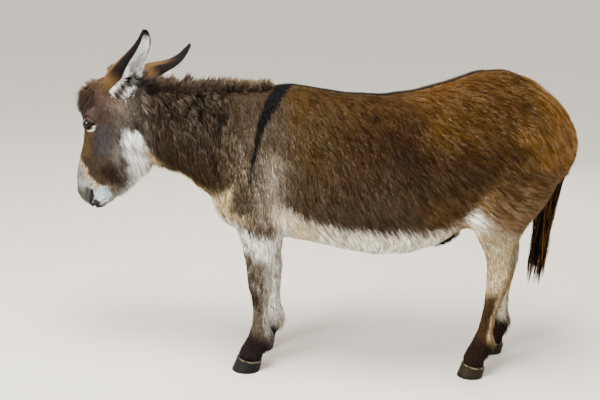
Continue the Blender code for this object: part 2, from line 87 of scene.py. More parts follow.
def mound(*gaps):
    """1 where every gap is 0, falling away smoothly round it."""
    return np.exp(-sum(gap ** 2 for gap in gaps))


def blend(first, second, share):
    return first * (1 - share) + second * share


def drift(points, size, seed):
    """A soft random value, about -1 to 1, that changes over a distance of size."""
    rng = np.random.default_rng(seed)
    total = np.zeros(len(points))
    for _ in range(7):
        way = rng.normal(size=3)
        way *= rng.uniform(0.7, 1.5) / np.linalg.norm(way)
        total += np.sin(points @ way * (2 * math.pi / size) + rng.uniform(0, 2 * math.pi))
    return total / 3.0


def merged(node):
    bm = bmesh.new()
    bm.from_mesh(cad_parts[node].data)
    bmesh.ops.remove_doubles(bm, verts=bm.verts, dist=1e-5)
    bm.normal_update()
    return bm


def new_mesh(name, bm):
    """Turns bm into a mesh, and frees it."""
    mesh = bpy.data.meshes.new(name)
    bm.to_mesh(mesh)
    bm.free()
    return mesh


def new_object(name, bm):
    made = bpy.data.objects.new(name, new_mesh(name, bm))
    scene.collection.objects.link(made)
    return made


def settle(obj):
    """Applies the modifiers of obj to its mesh."""
    bpy.context.view_layer.update()
    graph = bpy.context.evaluated_depsgraph_get()
    mesh = bpy.data.meshes.new_from_object(obj.evaluated_get(graph))
    mesh.name = obj.name
    obj.modifiers.clear()
    obj.data = mesh


def read(items, key, kind=np.float32, each=3):
    """The values of a mesh's items as an array, each of them a row."""
    found = np.empty(len(items) * each, dtype=kind)
    items.foreach_get(key, found)
    return found.reshape(-1, each)


def corners(mesh):
    return read(mesh.vertices, "co").astype(float)


def set_corners(mesh, points):
    mesh.vertices.foreach_set("co", points.astype(np.float32).ravel())
    mesh.update()


def bearings(mesh):
    return read(mesh.vertex_normals, "vector").astype(float)


def spread(values, edges, rounds):
    """Averages a value over neighbouring vertices."""
    count = np.zeros(len(values))
    np.add.at(count, edges.ravel(), 1)
    for _ in range(rounds):
        total = np.zeros(len(values))
        np.add.at(total, edges[:, 0], values[edges[:, 1]])
        np.add.at(total, edges[:, 1], values[edges[:, 0]])
        values = 0.5 * values + 0.5 * total / np.maximum(count, 1)
    return values


def coat_depth(points):
    """How deep the coat lies over the hide."""
    down, front, _ = head_places(points).T
    x, y, z = points.T
    head = fade(x, -0.56, -0.64)
    neck = fade(x, -0.64, -0.56) * fade(x, -0.20, -0.34) * fade(z, 0.60, 0.72)
    dock = mound((x - 0.703) / 0.035, y / 0.05) * fade(z, 0.96, 1.0)
    depth = 0.0045 + 0.0075 * neck - 0.0050 * dock
    depth = blend(depth, 0.0035, fade(z, 0.58, 0.40))
    depth = blend(depth, 0.0022 + 0.003 * fade(-front, 0.03, 0.12), head)
    return depth * (1 - 0.5 * fade(down, 0.33, 0.40) * head)


bm = bmesh.new()
solids = bmesh.new()
for name in FLESH + ("eye_left", "eye_right"):
    copy = merged(name)
    for vertex in copy.verts:
        vertex.co += vertex.normal * SEAM
    mesh = new_mesh("copy", copy)
    bm.from_mesh(mesh)
    if not name.startswith("eye"):
        solids.from_mesh(mesh)
    bpy.data.meshes.remove(mesh)
for side in (-1, 1):
    place = Matrix.Translation(on_head(EAR_BASE[0], EAR_BASE[1] + 0.004, side * (EAR_BASE[2] - 0.012)))
    bmesh.ops.create_uvsphere(bm, u_segments=24, v_segments=16, radius=EAR_ROOT, matrix=place)
outer = BVHTree.FromBMesh(solids)
solids.free()
skin = new_object("skin", bm)
melt = skin.modifiers.new("one_hide", "REMESH")
melt.mode = "VOXEL"
melt.voxel_size = GRAIN
settle(skin)
broad = skin.vertex_groups.new(name="broad")
for i, (x, y, z) in enumerate(corners(skin.data)):
    weight = float(fade(np.float64(x), -0.60, -0.50) * fade(np.float64(z), 0.45, 0.60))
    if weight > 0.01:
        broad.add([i], weight, "REPLACE")
for rounds, group in ((ALL_ROUNDS, ""), (BROAD_ROUNDS, "broad")):
    soften = skin.modifiers.new("soften", "SMOOTH")
    soften.factor = 0.5
    soften.iterations = rounds
    soften.vertex_group = group
settle(skin)
skin.vertex_groups.clear()

points, normals = corners(skin.data), bearings(skin.data)
edges = read(skin.data.edges, "vertices", np.int32, 2)
height = np.zeros(len(points))
for i, point in enumerate(points):
    spot, bearing, _, _ = outer.find_nearest(Vector(point))
    height[i] = max(-MELT_LIMIT, min(MELT_LIMIT, (Vector(point) - spot).dot(bearing)))
shift = -coat_depth(points) - spread(height, edges, 12)
set_corners(skin.data, points + normals * spread(shift, edges, 4)[:, None])

# The face: finer mesh, then the hollows, lids, nostrils and mouth are pressed into it

EYE_AT, EYE_RADIUS = (0.160, 0.050, 0.0715), 0.0213
LID_LONG, LID_ABOVE, LID_BELOW = 0.0235, 0.0060, 0.0235
LID_LINE = -0.0065  # the line between the lids' corners, across from the ball's middle
LID_THICK = 0.0018
LID_FLAT, LID_ENDS = 0.0022, 0.016  # from the opening's edge: how far the lid is level, and reaches
FOLD_AT, FOLD_HALF, FOLD_DEEP = 0.0065, 0.0022, 0.0026
LIDS_REACH, LIDS_BACK = 0.042, -0.016  # what the lids move: distance from the ball's middle, and behind it
EDGE_FROM, EDGE_TO = 0.90, 1.10  # vertices this near the opening's edge are drawn on to it
BEHIND_LIDS = 0.004  # in the opening the skin lies this far behind the ball's surface
NOSTRIL = ((0.388, -0.014), (0.410, -0.021), (0.438, -0.020))  # down, front along the slit
MOUTH = ((0.470, -0.016), (0.444, -0.038), (0.404, -0.066))
MOUTH_DEEP, MOUTH_HALF = 0.0042, 0.0026
LIP_RISE, LIP_AT, LIP_HALF = 0.0016, 0.0065, 0.004
NOSTRIL_DEEP, NOSTRIL_HALF, NOSTRIL_MORE = 0.0095, 0.0020, 0.0036  # half width at its ends, more between
RIM_RISE, RIM_AT, RIM_HALF = 0.0028, 0.004, 0.004
MUZZLE_FROM = 0.36  # down from the poll
MIDDLE_HALF = 0.018  # the nostrils begin this far from the middle


def eye_axes(side):
    """Centre of the eyeball, where it looks, along the lids towards the nose, and across them."""
    centre = on_head(EYE_AT[0], EYE_AT[1], side * EYE_AT[2])
    looks = (OUT * side * 0.92 + FRONT * 0.36 - DOWN * 0.10).normalized()
    along = (FRONT - looks * FRONT.dot(looks)).normalized()
    across = looks.cross(along) * (1 if looks.cross(along).dot(DOWN) > 0 else -1)
    return centre, looks, along, across


def lid_reach(s, t):
    """1 on the edge of the lids' opening, less inside it."""
    tall = np.where(t > LID_LINE, LID_BELOW, LID_ABOVE)
    return ((np.abs(s) / LID_LONG) ** 1.6 + (np.abs(t - LID_LINE) / tall) ** 1.6) ** (1 / 1.6)


def refine(wanted):
    """Halves the edges of the face's mesh, bm, where wanted(point) holds."""
    near = {vertex for vertex in bm.verts if wanted(vertex.co)}
    cut = [edge for edge in bm.edges if edge.verts[0] in near and edge.verts[1] in near]
    done = bmesh.ops.subdivide_edges(bm, edges=cut, cuts=1, use_grid_fill=True, smooth=0.0)
    fresh = [item for item in done["geom"] if isinstance(item, bmesh.types.BMVert)]
    bmesh.ops.smooth_vert(bm, verts=fresh, factor=0.5, use_axis_x=True, use_axis_y=True, use_axis_z=True)


def by_eye(p, reach):
    return min((p - eye[0]).length for eye in eyes) < reach


bm = bmesh.new()
bm.from_mesh(skin.data)
eyes = [eye_axes(side) for side in (-1, 1)]
refine(lambda p: (p - POLL).dot(DOWN) > -0.03 and p.x < -0.61)
refine(lambda p: (p - POLL).dot(DOWN) > 0.345 or by_eye(p, 0.050))
refine(lambda p: by_eye(p, 0.040))


def line_reach(place, line):
    """How far a (down, front) place is from a bent line, and how far along it."""
    best = None
    for i in range(len(line) - 1):
        a, b = Vector(line[i]), Vector(line[i + 1])
        share = max(0.0, min(1.0, (place - a).dot(b - a) / (b - a).length_squared))
        gap = (place - a - (b - a) * share).length
        if best is None or gap < best[0]:
            best = gap, (i + share) / (len(line) - 1)
    return best


def near_mouth(p):
    down, front, out = ((p - POLL).dot(way) for way in (DOWN, FRONT, OUT))
    if down < MUZZLE_FROM:
        return False
    place = Vector((down, front))
    by_nostril = abs(out) > MIDDLE_HALF and line_reach(place, NOSTRIL)[0] < 0.012
    return by_nostril or line_reach(place, MOUTH)[0] < 0.007


refine(near_mouth)
bm.normal_update()

# Hollows and ridges of the face: down, front, radius, push outwards
FORMS = (
    (0.100, 0.062, 0.024, -0.0045), (0.128, 0.060, 0.016, 0.0030), (0.200, 0.020, 0.026, -0.0020),
    (0.235, -0.035, 0.026, 0.0022), (0.275, -0.055, 0.022, 0.0018), (0.250, 0.030, 0.030, -0.0030),
    (0.330, -0.010, 0.026, -0.0028), (0.386, 0.016, 0.014, 0.0022), (0.412, -0.044, 0.013, -0.0016),
    (0.060, -0.020, 0.024, -0.0022), (0.325, -0.105, 0.032, -0.0060),
)
moves = {}
for vertex in bm.verts:
    offset = vertex.co - POLL
    down, front, out = offset.dot(DOWN), offset.dot(FRONT), offset.dot(OUT)
    if down < 0.0 or vertex.co.x > -0.60:
        continue
    push = 0.0
    if abs(out) > 0.012:
        for at_down, at_front, radius, amount in FORMS:
            gap = ((down - at_down) ** 2 + (front - at_front) ** 2) / radius ** 2
            if gap < 6:
                push += amount * math.exp(-gap)
    if down > MUZZLE_FROM:
        place = Vector((down, front))
        gap, _ = line_reach(place, MOUTH)
        push -= MOUTH_DEEP * math.exp(-((gap / MOUTH_HALF) ** 2))
        push += LIP_RISE * math.exp(-(((gap - LIP_AT) / LIP_HALF) ** 2))
        if abs(out) > MIDDLE_HALF:
            gap, share = line_reach(place, NOSTRIL)
            width = NOSTRIL_HALF + NOSTRIL_MORE * math.sin(math.pi * min(max(share, 0.0), 1.0))
            push -= NOSTRIL_DEEP * math.exp(-((gap / width) ** 2))
            push += RIM_RISE * math.exp(-(((gap - width - RIM_AT) / RIM_HALF) ** 2))
    if push:
        moves[vertex] = vertex.normal * push
for vertex, move in moves.items():
    vertex.co += move

for centre, looks, along, across in eyes:
    for vertex in bm.verts:
        offset = vertex.co - centre
        if offset.length > LIDS_REACH or offset.dot(looks) < LIDS_BACK:
            continue
        s, t, rise = offset.dot(along), offset.dot(across), offset.dot(looks)
        reach = max(float(lid_reach(s, t)), 0.02)
        if EDGE_FROM < reach < EDGE_TO:
            s, t, reach = s / reach, LID_LINE + (t - LID_LINE) / reach, 1.0
        flat = math.hypot(s, t)
        ball = math.sqrt(max(EYE_RADIUS ** 2 - flat * flat, 0.0))
        lid = math.sqrt(max((EYE_RADIUS + LID_THICK) ** 2 - flat * flat, 0.0))
        gap = math.hypot(s, t - LID_LINE) * (1 - 1 / reach)
        if reach <= EDGE_FROM:
            rise = min(rise, ball - BEHIND_LIDS)
        elif gap < LID_FLAT:
            rise = lid
        elif gap < LID_ENDS:
            fold = FOLD_DEEP * math.exp(-(((gap - FOLD_AT) / FOLD_HALF) ** 2))
            rise = lid + (rise - lid) * float(fade(np.float64(gap), LID_FLAT, LID_ENDS)) - fold
        if reach > 1 and flat < EYE_RADIUS:
            rise = max(rise, lid - 0.001)
        vertex.co = centre + along * s + across * t + looks * rise
bmesh.ops.triangulate(bm, faces=[face for face in bm.faces if len(face.verts) > 4])
bmesh.ops.recalc_face_normals(bm, faces=bm.faces)
bm.to_mesh(skin.data)
bm.free()
skin.data.update()

# ------------------------------------------------------------------ ears
# Each ear is a long leaf of gristle under thin skin, rolled into a tube at the base and open above it.
# They grow out of the hide, so they are one mesh with it.

# From foot to tip, the way the leaf opens, and how its length bends below and above the middle
EAR_REACH = {"left": Vector((0.090, -0.066, 0.218)), "right": Vector((0.190, 0.086, 0.156))}
EAR_OPENS = {"left": Vector((0.50, -0.85, -0.15)), "right": Vector((0.45, 0.40, -0.80))}
EAR_BEND = {
    "left": (Vector((-0.062, 0.0, -0.008)), Vector((0.052, 0.0, -0.008))),
    "right": (Vector((0.0, 0.0, 0.050)), Vector((0.010, 0.0, -0.070))),
}
# Share of the reach, half width, half depth, half angle of the roll
EAR_SECTIONS = (
    (-0.08, 0.027, 0.025, 150), (0.02, 0.038, 0.034, 138), (0.14, 0.048, 0.037, 128),
    (0.22, 0.049, 0.036, 124), (0.36, 0.047, 0.031, 120), (0.58, 0.039, 0.022, 104),
    (0.77, 0.029, 0.015, 96), (0.91, 0.018, 0.010, 92), (0.985, 0.007, 0.004, 90),
)
EAR_FOOT, EAR_TIP = -0.08, 0.985  # shares of the reach where the leaf begins, in the hide, and ends
EAR_TURN = {"left": (14, -36), "right": (28, 30)}  # degrees the opening is turned, at the foot and above
EAR_TURNED = 0.32  # the share of the reach from which the turn stays the same
EAR_WALL = 0.0034
EAR_ROWS, EAR_COLUMNS = 44, 30
SIDES = {"left": -1, "right": 1}


def ear_section(share):
    table = np.array(EAR_SECTIONS)
    return [float(np.interp(share, table[:, 0], table[:, i])) for i in (1, 2, 3)]


def ear_axes(name, share):
    """The middle of the roll at a share of the ear's reach, its breadth and the way it opens."""
    reach, opens = EAR_REACH[name], EAR_OPENS[name]
    base = on_head(EAR_BASE[0], EAR_BASE[1], SIDES[name] * EAR_BASE[2])
    low, high = EAR_BEND[name]
    rest = 1 - share
    middle = base + reach * share + low * 3 * share * rest ** 2 + high * 3 * share ** 2 * rest
    pointing = reach.normalized()
    opens = (opens - pointing * opens.dot(pointing)).normalized()
    return middle, pointing.cross(opens), opens


def ear_spot(name, share, roll):
    """A point of the ear's leaf: share up its reach, roll from -1 to 1 across it."""
    middle, breadth, opens = ear_axes(name, share)
    half, deep, angle = ear_section(share)
    turned = blend(*EAR_TURN[name], min(1.0, max(0.0, share / EAR_TURNED)))
    turn = math.radians(angle * roll + turned)
    return middle + breadth * half * math.sin(turn) - opens * deep * math.cos(turn)


ear_start = len(skin.data.vertices)
bm = bmesh.new()
bm.from_mesh(skin.data)
for name in SIDES:
    leaf = bmesh.new()
    bmesh.ops.create_grid(leaf, x_segments=EAR_COLUMNS, y_segments=EAR_ROWS, size=1.0)
    for vertex in leaf.verts:
        # rows lie closer towards the tip
        share = EAR_FOOT + (EAR_TIP - EAR_FOOT) * (1 - (1 - (vertex.co.y + 1) / 2) ** 1.25)
        vertex.co = ear_spot(name, share, vertex.co.x)
    bmesh.ops.recalc_face_normals(leaf, faces=leaf.faces)
    bmesh.ops.solidify(leaf, geom=leaf.faces[:], thickness=EAR_WALL)
    bmesh.ops.recalc_face_normals(leaf, faces=leaf.faces)
    mesh = new_mesh("leaf", leaf)
    bm.from_mesh(mesh)
    bpy.data.meshes.remove(mesh)
bm.to_mesh(skin.data)
bm.free()
skin.data.shade_smooth()

# ------------------------------------------------------------------ markings
# The coat's colours, the same on hide and hair: grey shoulder and neck, golden brown back, black
# shoulder cross and stripe, white belly and muzzle, dark feet.

# The lower edge of the brown: place along the body, height
BELLY_LINE = ((-0.20, 0.66), (-0.15, 0.630), (-0.09, 0.594), (0.05, 0.566), (0.20, 0.564),
              (0.34, 0.566), (0.42, 0.584), (0.453, 0.620), (0.482, 0.640), (0.516, 0.600),
              (0.575, 0.546), (0.70, 0.54), (0.80, 0.54))
THROAT_LINE = ((-0.66, 0.80), (-0.60, 0.735), (-0.489, 0.692), (-0.389, 0.622), (-0.30, 0.545))
# Height, place along the body and half width of the shoulder cross
CROSS_LINE = ((0.68, -0.272, 0.002), (0.764, -0.259, 0.0045), (0.828, -0.246, 0.006),
              (0.870, -0.238, 0.010), (0.906, -0.228, 0.014), (0.94, -0.211, 0.019),
              (0.98, -0.187, 0.024), (1.02, -0.168, 0.028))
# Down and front of the white cheek patch's two edges, and front and down of the muzzle's upper edge
CHEEK_FRONT = ((0.10, -0.096), (0.145, -0.084), (0.20, -0.094), (0.25, -0.117), (0.283, -0.134),
               (0.32, -0.126), (0.36, -0.104), (0.40, -0.078))
CHEEK_BACK = ((0.10, -0.10), (0.125, -0.132), (0.15, -0.150), (0.20, -0.154), (0.25, -0.150),
              (0.30, -0.136), (0.36, -0.105))
MUZZLE_EDGE = ((-0.10, 0.385), (-0.074, 0.381), (-0.046, 0.357), (-0.016, 0.354), (0.018, 0.333),
               (0.049, 0.304), (0.08, 0.285))


def shade(red, green, blue):
    """A colour given as the eye reads it in the studio's light, 0 to 255, as the share of light returned."""
    light = (np.array((red, green, blue)) / 255.0) ** 2.45
    return light * light.mean() ** 0.2


def along_line(line, value, column=1):
    table = np.array(line)
    return np.interp(value, table[:, 0], table[:, column])


def paint(colour, *coats):
    """Lays colours over a first one in turn, each by its share at every point. A tuple is a shade."""
    colour = shade(*colour) if isinstance(colour, tuple) else colour
    for tint, share in coats:
        tint = shade(*tint) if isinstance(tint, tuple) else tint
        colour = colour * (1 - share[:, None]) + tint * share[:, None]
    return colour


def body_colour(points, normals):
    x, y, z = points.T
    away = np.abs(y)
    rough, fine = drift(points, 0.11, 1), drift(points, 0.03, 2)
    rough_x = x + 0.03 * rough
    brown = fade(x + 0.02 * rough, -0.22, -0.08)
    sheen = mound((z - 0.735 - 0.08 * x) / 0.05) * fade(x, -0.10, 0.0) * fade(x, 0.5, 0.34)
    behind_arm = mound((x + 0.192) / 0.042) * fade(z, 0.55, 0.60) * fade(z, 0.84, 0.76)
    # fold: painted shade in the crease between flank and thigh
    fold = mound((x - 0.405 - 0.25 * (z - 0.80)) / 0.018, (z - 0.80) / 0.07)
    neck = fade(x + 0.02 * rough, -0.31, -0.40)
    clump = fade(drift(points * np.array((1.0, 1.0, 0.45)), 0.05, 3), -0.1, 0.9)
    low = z - along_line(THROAT_LINE, x) - 0.012 * rough
    throat = fade(low, 0.045 + 0.045 * fade(x, -0.44, -0.34), 0.0) * fade(x, -0.24, -0.29)
    breast = fade(0.25 * fade(z, 0.62, 0.54) - normals[:, 0], 0.55, 0.85)
    breast = breast * fade(x, -0.22, -0.30) * fade(z, 0.74, 0.68)
    soft = 0.018 + 0.030 * fade(x, 0.46, 0.54)
    under = fade(z - along_line(BELLY_LINE, x) + 0.006 * fine, soft, -soft) * fade(x, -0.20, -0.13)
    sheath = mound((x - 0.425) / 0.05, (z - 0.495) / 0.035) * fade(away, 0.05, 0.03)
    middle, half = along_line(CROSS_LINE, z), along_line(CROSS_LINE, z, 2)
    cross = fade(np.abs(x - middle) - half + 0.002 * fine, 0.003, -0.002) * fade(z, 0.69, 0.73)
    stripe = fade(away + 0.002 * fine + 0.004 * fade(x, 0.50, 0.62), 0.012, 0.006)
    stripe = stripe * fade(z, 0.86, 0.9) * fade(x, -0.30, -0.22) * (1 - 0.25 * fade(x, 0.53, 0.60))
    colour = paint(
        (100, 86, 69),
        # back and rump
        ((94, 75, 43), brown),
        ((79, 55, 18), fade(rough_x, -0.10, 0.12)),
        ((84, 60, 20), brown * fade(z + 0.02 * rough, 0.88, 1.00) * 0.9),
        ((105, 76, 26), fade(rough_x, 0.22, 0.36) * fade(z, 0.70, 0.92)),
        ((95, 65, 18), fade(x, 0.2, 0.3) * fade(x, 0.66, 0.56) * fade(z, 0.90, 1.0) * 0.7),
        ((172, 126, 58), fade(rough_x, 0.56, 0.80) * fade(z, 0.60, 0.76) * 0.9),
        ((132, 104, 66), fade(normals[:, 0], 0.45, 0.9) * fade(x, 0.5, 0.7) * 0.6),
        # barrel, flank and thigh
        ((97, 79, 58), brown * fade(z + 0.03 * rough, 0.84, 0.64) * fade(x, 0.40, 0.24) * 0.9),
        ((118, 90, 51), fade(x, 0.22, 0.36) * fade(z - 0.12 * (x - 0.65), 0.84, 0.66) * 0.85),
        ((154, 124, 84), fade(x, 0.44, 0.52) * fade(z, 0.74, 0.60) * 0.85),
        ((92, 70, 46), sheen * 0.55 * (0.8 + 0.2 * fine)),
        ((168, 155, 136), behind_arm * 0.66),
        ((62, 38, 12), mound((x - 0.235) / 0.06, (z - 0.83) / 0.07) * 0.6),
        # painted shade in the fold between flank and thigh
        ((36, 20, 8), fold * 0.25),
        # neck
        ((78, 62, 44), fade(x, -0.12, -0.20) * fade(z, 0.86, 0.96) * 0.9),
        ((74, 62, 49), neck),
        ((20, 17, 15), neck * clump * fade(z, 0.78, 0.90) * 0.85),
        ((80, 62, 36), neck * fade(z, 0.84, 0.72) * 0.7),
        # throat, breast and belly
        ((184, 163, 120), np.maximum(throat, breast)),
        ((252, 246, 232), under * (1 - 0.5 * fade(x, 0.53, 0.60))),
        ((236, 218, 176), under * fade(x, 0.04, -0.10) * 0.8),
        ((24, 18, 15), np.clip(sheath * 2.2, 0, 1)),
        # cross and stripe
        ((3, 2, 2), cross),
        ((22, 15, 10), stripe),
    )
    return colour * (1 + 0.05 * rough + 0.05 * fine)[:, None]


def leg_colour(points, normals):
    """Fore and hind legs, from the elbow and stifle to the coronet. The right ones stand further back."""
    x, y, z = points.T
    right = y > 0
    rough = drift(points, 0.06, 5)
    streak = fade(drift(points * np.array((1.0, 1.0, 0.3)), 0.022, 14), 0.0, 1.2)
    inner = fade(-normals[:, 1] * np.sign(y), 0.1, 0.6)
    ahead = -normals[:, 0]
    rear = fade(normals[:, 0], 0.1, 0.7)
    elbow = z + 0.4 * (x + 0.22)
    patch = fade(z + 0.35 * (x + 0.24) + 0.01 * rough, 0.42, 0.48)
    patch = patch * (1 - fade(elbow + 0.012 * rough, 0.495, 0.550) * fade(x, -0.16, -0.19))
    foot = z + 0.6 * (x - 0.048 * right + 0.26) + 0.006 * rough + 0.034 * right
    fore = paint(
        (104, 92, 78),
        ((214, 208, 196), np.clip(inner + rear * 0.6 * fade(z, 0.12, 0.2), 0, 1)),
        ((240, 236, 228), patch),
        ((176, 166, 152), streak * 0.6 * fade(z, 0.16, 0.26) * (1 - patch)),
        ((66, 51, 34), mound((z - 0.285) / 0.052) * fade(ahead, -0.2, 0.4) * 0.9),
        ((170, 164, 152), right * fade(z, 0.19, 0.13)),
        ((118, 100, 80), fade(elbow, 0.53, 0.57) * fade(x, -0.15, -0.19)),
        ((48, 38, 33), fade(foot, 0.195, 0.145)),
    )
    x = x - 0.125 * right
    pale = mound((z - 0.49) / 0.04) * 0.6
    pale = np.maximum(pale, mound((x - 0.592) / 0.020, (z - 0.385) / 0.040) * 0.8)
    cannon = fade(z - 0.9 * (x - 0.577) + 0.01 * rough + 0.02 * right, 0.36, 0.29)
    cannon = cannon * (1 - 0.85 * fade(normals[:, 0], -0.1, 0.4)) * (1 - 0.6 * right)
    hind = paint(
        (196, 174, 132),
        ((214, 206, 190), np.clip(inner * 0.9 + fade(z, 0.52, 0.62) * fade(ahead, 0, 0.6), 0, 1)),
        ((126, 92, 54), streak * 0.65 * fade(z, 0.30, 0.36) * fade(z, 0.52, 0.46)),
        ((120, 86, 54), rear * fade(z, 0.60, 0.50) * 0.5),
        ((228, 218, 198), pale * fade(streak, -0.2, 0.6)),
        ((82, 60, 30), cannon),
        ((56, 37, 17), fade(z + 0.006 * rough + 0.25 * (x - 0.56), 0.175, 0.135)),
        ((52, 32, 20), mound((z - 0.465) / 0.04, (x - 0.655) / 0.022) * 0.8),
    )
    return paint(fore, (hind, fade(points[:, 0], 0.1, 0.2)))


def head_colour(points):
    down, front, _ = head_places(points).T
    rough = drift(points, 0.05, 8)
    front = front + 0.006 * rough
    down = down + 0.006 * drift(points, 0.03, 9)

    def oval(at_down, at_front, tall, broad):
        """0 in the middle of an oval and 1 on its edge."""
        return ((down - at_down) / tall) ** 2 + ((front - at_front) / broad) ** 2

    line, back = along_line(CHEEK_FRONT, down), along_line(CHEEK_BACK, down)
    patch = fade(line - front, -0.026, 0.014) * fade(front - back, -0.008, 0.010)
    patch = patch * fade(down, 0.108, 0.125) * (1 - 0.55 * fade(down, 0.285, 0.32))
    edge = along_line(MUZZLE_EDGE, front)
    ring, rim = lid_marks(points)
    colour = paint(
        (78, 62, 54),
        # forehead, cheek and nose
        ((90, 81, 71), fade(-front, -0.01, 0.05)),
        ((82, 75, 74), fade(oval(0.195, -0.012, 0.056, 0.036), 1.9, 0.5)),
        ((106, 83, 54), fade(front, 0.020, 0.052) * fade(down, 0.17, 0.22)),
        ((94, 68, 38), fade(front, 0.062, 0.082) * fade(down, 0.16, 0.20) * 0.8),
        ((84, 68, 54), fade(down, 0.225, 0.30) * fade(front, 0.06, 0.03)),
        # painted shade along the front of the forehead, where the profile turns away
        ((66, 48, 36), fade(front, 0.070, 0.100) * fade(down, 0.17, 0.11) * 0.5),
        ((130, 122, 114), np.exp(-oval(0.225, -0.066, 0.05, 0.022)) * 0.8),
        ((132, 114, 98), np.exp(-oval(0.055, -0.012, 0.030, 0.035)) * 0.8),
        ((62, 44, 30), fade(oval(0.300, -0.052, 0.045, 0.028), 1.5, 0.1) * 0.9),
        # jaw, and the white patch behind the cheek
        ((120, 106, 92), fade(down, 0.325, 0.35) * fade(-front, 0.04, 0.07)),
        ((130, 120, 110), np.exp(-oval(0.285, -0.100, 0.035, 0.015)) * 0.7),
        ((164, 150, 128), fade(back + 0.012 - front, 0.0, 0.016) * fade(down, 0.14, 0.19)),
        ((160, 155, 149), fade(-front, 0.096, 0.122) * fade(down, 0.27, 0.30) * 0.9),
        ((252, 252, 250), patch),
        # muzzle, lips and nostrils
        ((176, 158, 126), fade(down - edge, -0.004, 0.012)),
        ((136, 136, 131), fade(down - edge, 0.014, 0.030)),
        ((174, 184, 190), fade(oval(0.394, -0.054, 0.034, 0.030), 1.4, 0.5)),
        ((88, 84, 76), fade(front, -0.004, 0.02) * fade(down, 0.375, 0.41) * 0.9),
        ((64, 62, 55), fade(oval(0.412, -0.006, 0.030, 0.018), 1.5, 0.5) * 0.85),
        ((40, 38, 36), fade(oval(0.446, -0.036, 0.024, 0.024), 1.4, 0.6) * 0.92),
        # poll and lids
        ((98, 75, 54), fade(down, 0.09, 0.02) * fade(front, 0.0, 0.04)),
        ((214, 204, 186), ring * 0.9),
        ((24, 19, 17), rim),
    )
    return colour * (1 + 0.08 * rough)[:, None]


def over_eye(points, eye, behind):
    """Where points lie along and across an eye's lids, and which of them are near it."""
    centre, looks, along, across = (np.array(value) for value in eye)
    offset = points - centre
    near = (offset @ looks > behind) & (np.linalg.norm(offset, axis=1) < 0.045)
    return offset @ along, offset @ across, near


def lid_marks(points):
    """Where the pale ring under each eye is, and the dark edge of the lids."""
    ring, rim = np.zeros((2, len(points)))
    for eye in eyes:
        s, t, near = over_eye(points, eye, -0.018)
        reach = lid_reach(s, t) - 0.16 * fade(t, 0.002, 0.014)
        wide = 0.04 + 0.10 * fade(t, 0.004, 0.022)
        ring += near * fade(reach, 1.04, 1.12) * fade(reach, 1.24 + wide, 1.1 + wide) * fade(t, -0.006, 0.0)
        rim += near * fade(reach, 1.10, 1.02)
    return np.clip(ring, 0, 1), np.clip(rim, 0, 1)


def behind_head(points):
    """How far points lie behind the line from the poll to the throat."""
    return points[:, 0] + 0.641 - (1.12 - points[:, 2]) * 0.104


def coat_colour(points, normals):
    """The coat's colour at every point of the hide."""
    x, y, z = points.T
    knee = np.where(x < 0.1, fade(z, 0.605, 0.545), fade(z + 0.25 * (x - 0.60), 0.585, 0.535))
    beside = x - 0.08 * fade(np.abs(y), 0.07, 0.05)
    knee = knee * np.where(x < 0.1, fade(x, -0.10, -0.15), fade(beside, 0.38, 0.44))
    head = fade(behind_head(points) + 0.012 * drift(points, 0.04, 12), 0.025, -0.020)
    colour = paint(body_colour(points, normals), (leg_colour(points, normals), knee),
                   (head_colour(points), head))
    return np.clip(colour, 0.001, 0.95)


def ear_marks(share, roll):
    """Short dark strokes along the middle of the ear's inside."""
    marks = fade(np.sin(share * 130 + 5 * np.sin(roll * 9)), 0.2, 0.7)
    marks = marks * fade(np.sin(roll * 20 + share * 14), 0.0, 0.6)
    aside = np.abs(roll) - 0.26 - 0.40 * fade(share, 0.08, 0.34)
    return 0.95 * marks * np.exp(-((aside / 0.22) ** 4)) * np.exp(-(((share - 0.40) / 0.25) ** 4))


def ear_colour(share, roll, inside):
    """Golden brown outside, dark edge and tip, pale within."""
    edge = fade(np.abs(roll), 0.34, 0.60) * fade(share, 0.22, 0.40)
    rim = np.maximum(fade(np.abs(roll), 0.80, 0.93) * fade(share, 0.34, 0.54), fade(share, 0.80, 0.93))
    back = paint((98, 78, 52), ((102, 78, 46), fade(share, 0.05, 0.20)),
                 ((34, 22, 15), np.maximum(edge, fade(share, 0.46, 0.78))))
    inner = paint((240, 241, 242), ((36, 34, 35), ear_marks(share, roll)))
    return paint(np.where(inside[:, None], inner, back), ((30, 20, 15), rim))


def colour_points(mesh, values):
    """Stores one colour for each vertex, which the material reads."""
    stored = mesh.color_attributes.new("coat_colour", "FLOAT_COLOR", "POINT")
    filled = np.ones((len(values), 4), dtype=np.float32)
    filled[:, :3] = values
    stored.data.foreach_set("color", filled.ravel())


def tree_of(places):
    """A tree that finds the nearest of the places."""
    tree = KDTree(len(places))
    for i, place in enumerate(places):
        tree.insert(Vector(place), i)
    tree.balance()
    return tree


EAR_STEPS, EAR_ROLLS = 60, 41  # how finely a vertex's place on the ear's leaf is found
points, normals = corners(skin.data), bearings(skin.data)
skin_colour = np.empty((len(points), 3))
skin_colour[:ear_start] = coat_colour(points[:ear_start], normals[:ear_start])
ear_grid = [
    (name, float(share), float(roll)) for name in SIDES
    for share in np.linspace(EAR_FOOT, EAR_TIP, EAR_STEPS) for roll in np.linspace(-1, 1, EAR_ROLLS)
]
tree = tree_of([ear_spot(*entry) for entry in ear_grid])
found = [ear_grid[tree.find(Vector(point))[1]] for point in points[ear_start:]]
ear_side = np.array([SIDES[name] for name, _, _ in found])
ear_share, ear_roll = np.array([(share, roll) for _, share, roll in found]).T
ear_inside = np.array([
    Vector(normal).dot(ear_axes(name, share)[0] - Vector(point)) > 0
    for point, normal, (name, share, _) in zip(points[ear_start:], normals[ear_start:], found)
])
skin_colour[ear_start:] = ear_colour(ear_share, ear_roll, ear_inside)
# The hide is painted darker under the coat, as shade in the gaps between tufts, least where it is white
colour_points(skin.data, skin_colour * (0.55 + 0.30 * skin_colour.mean(1, keepdims=True)))


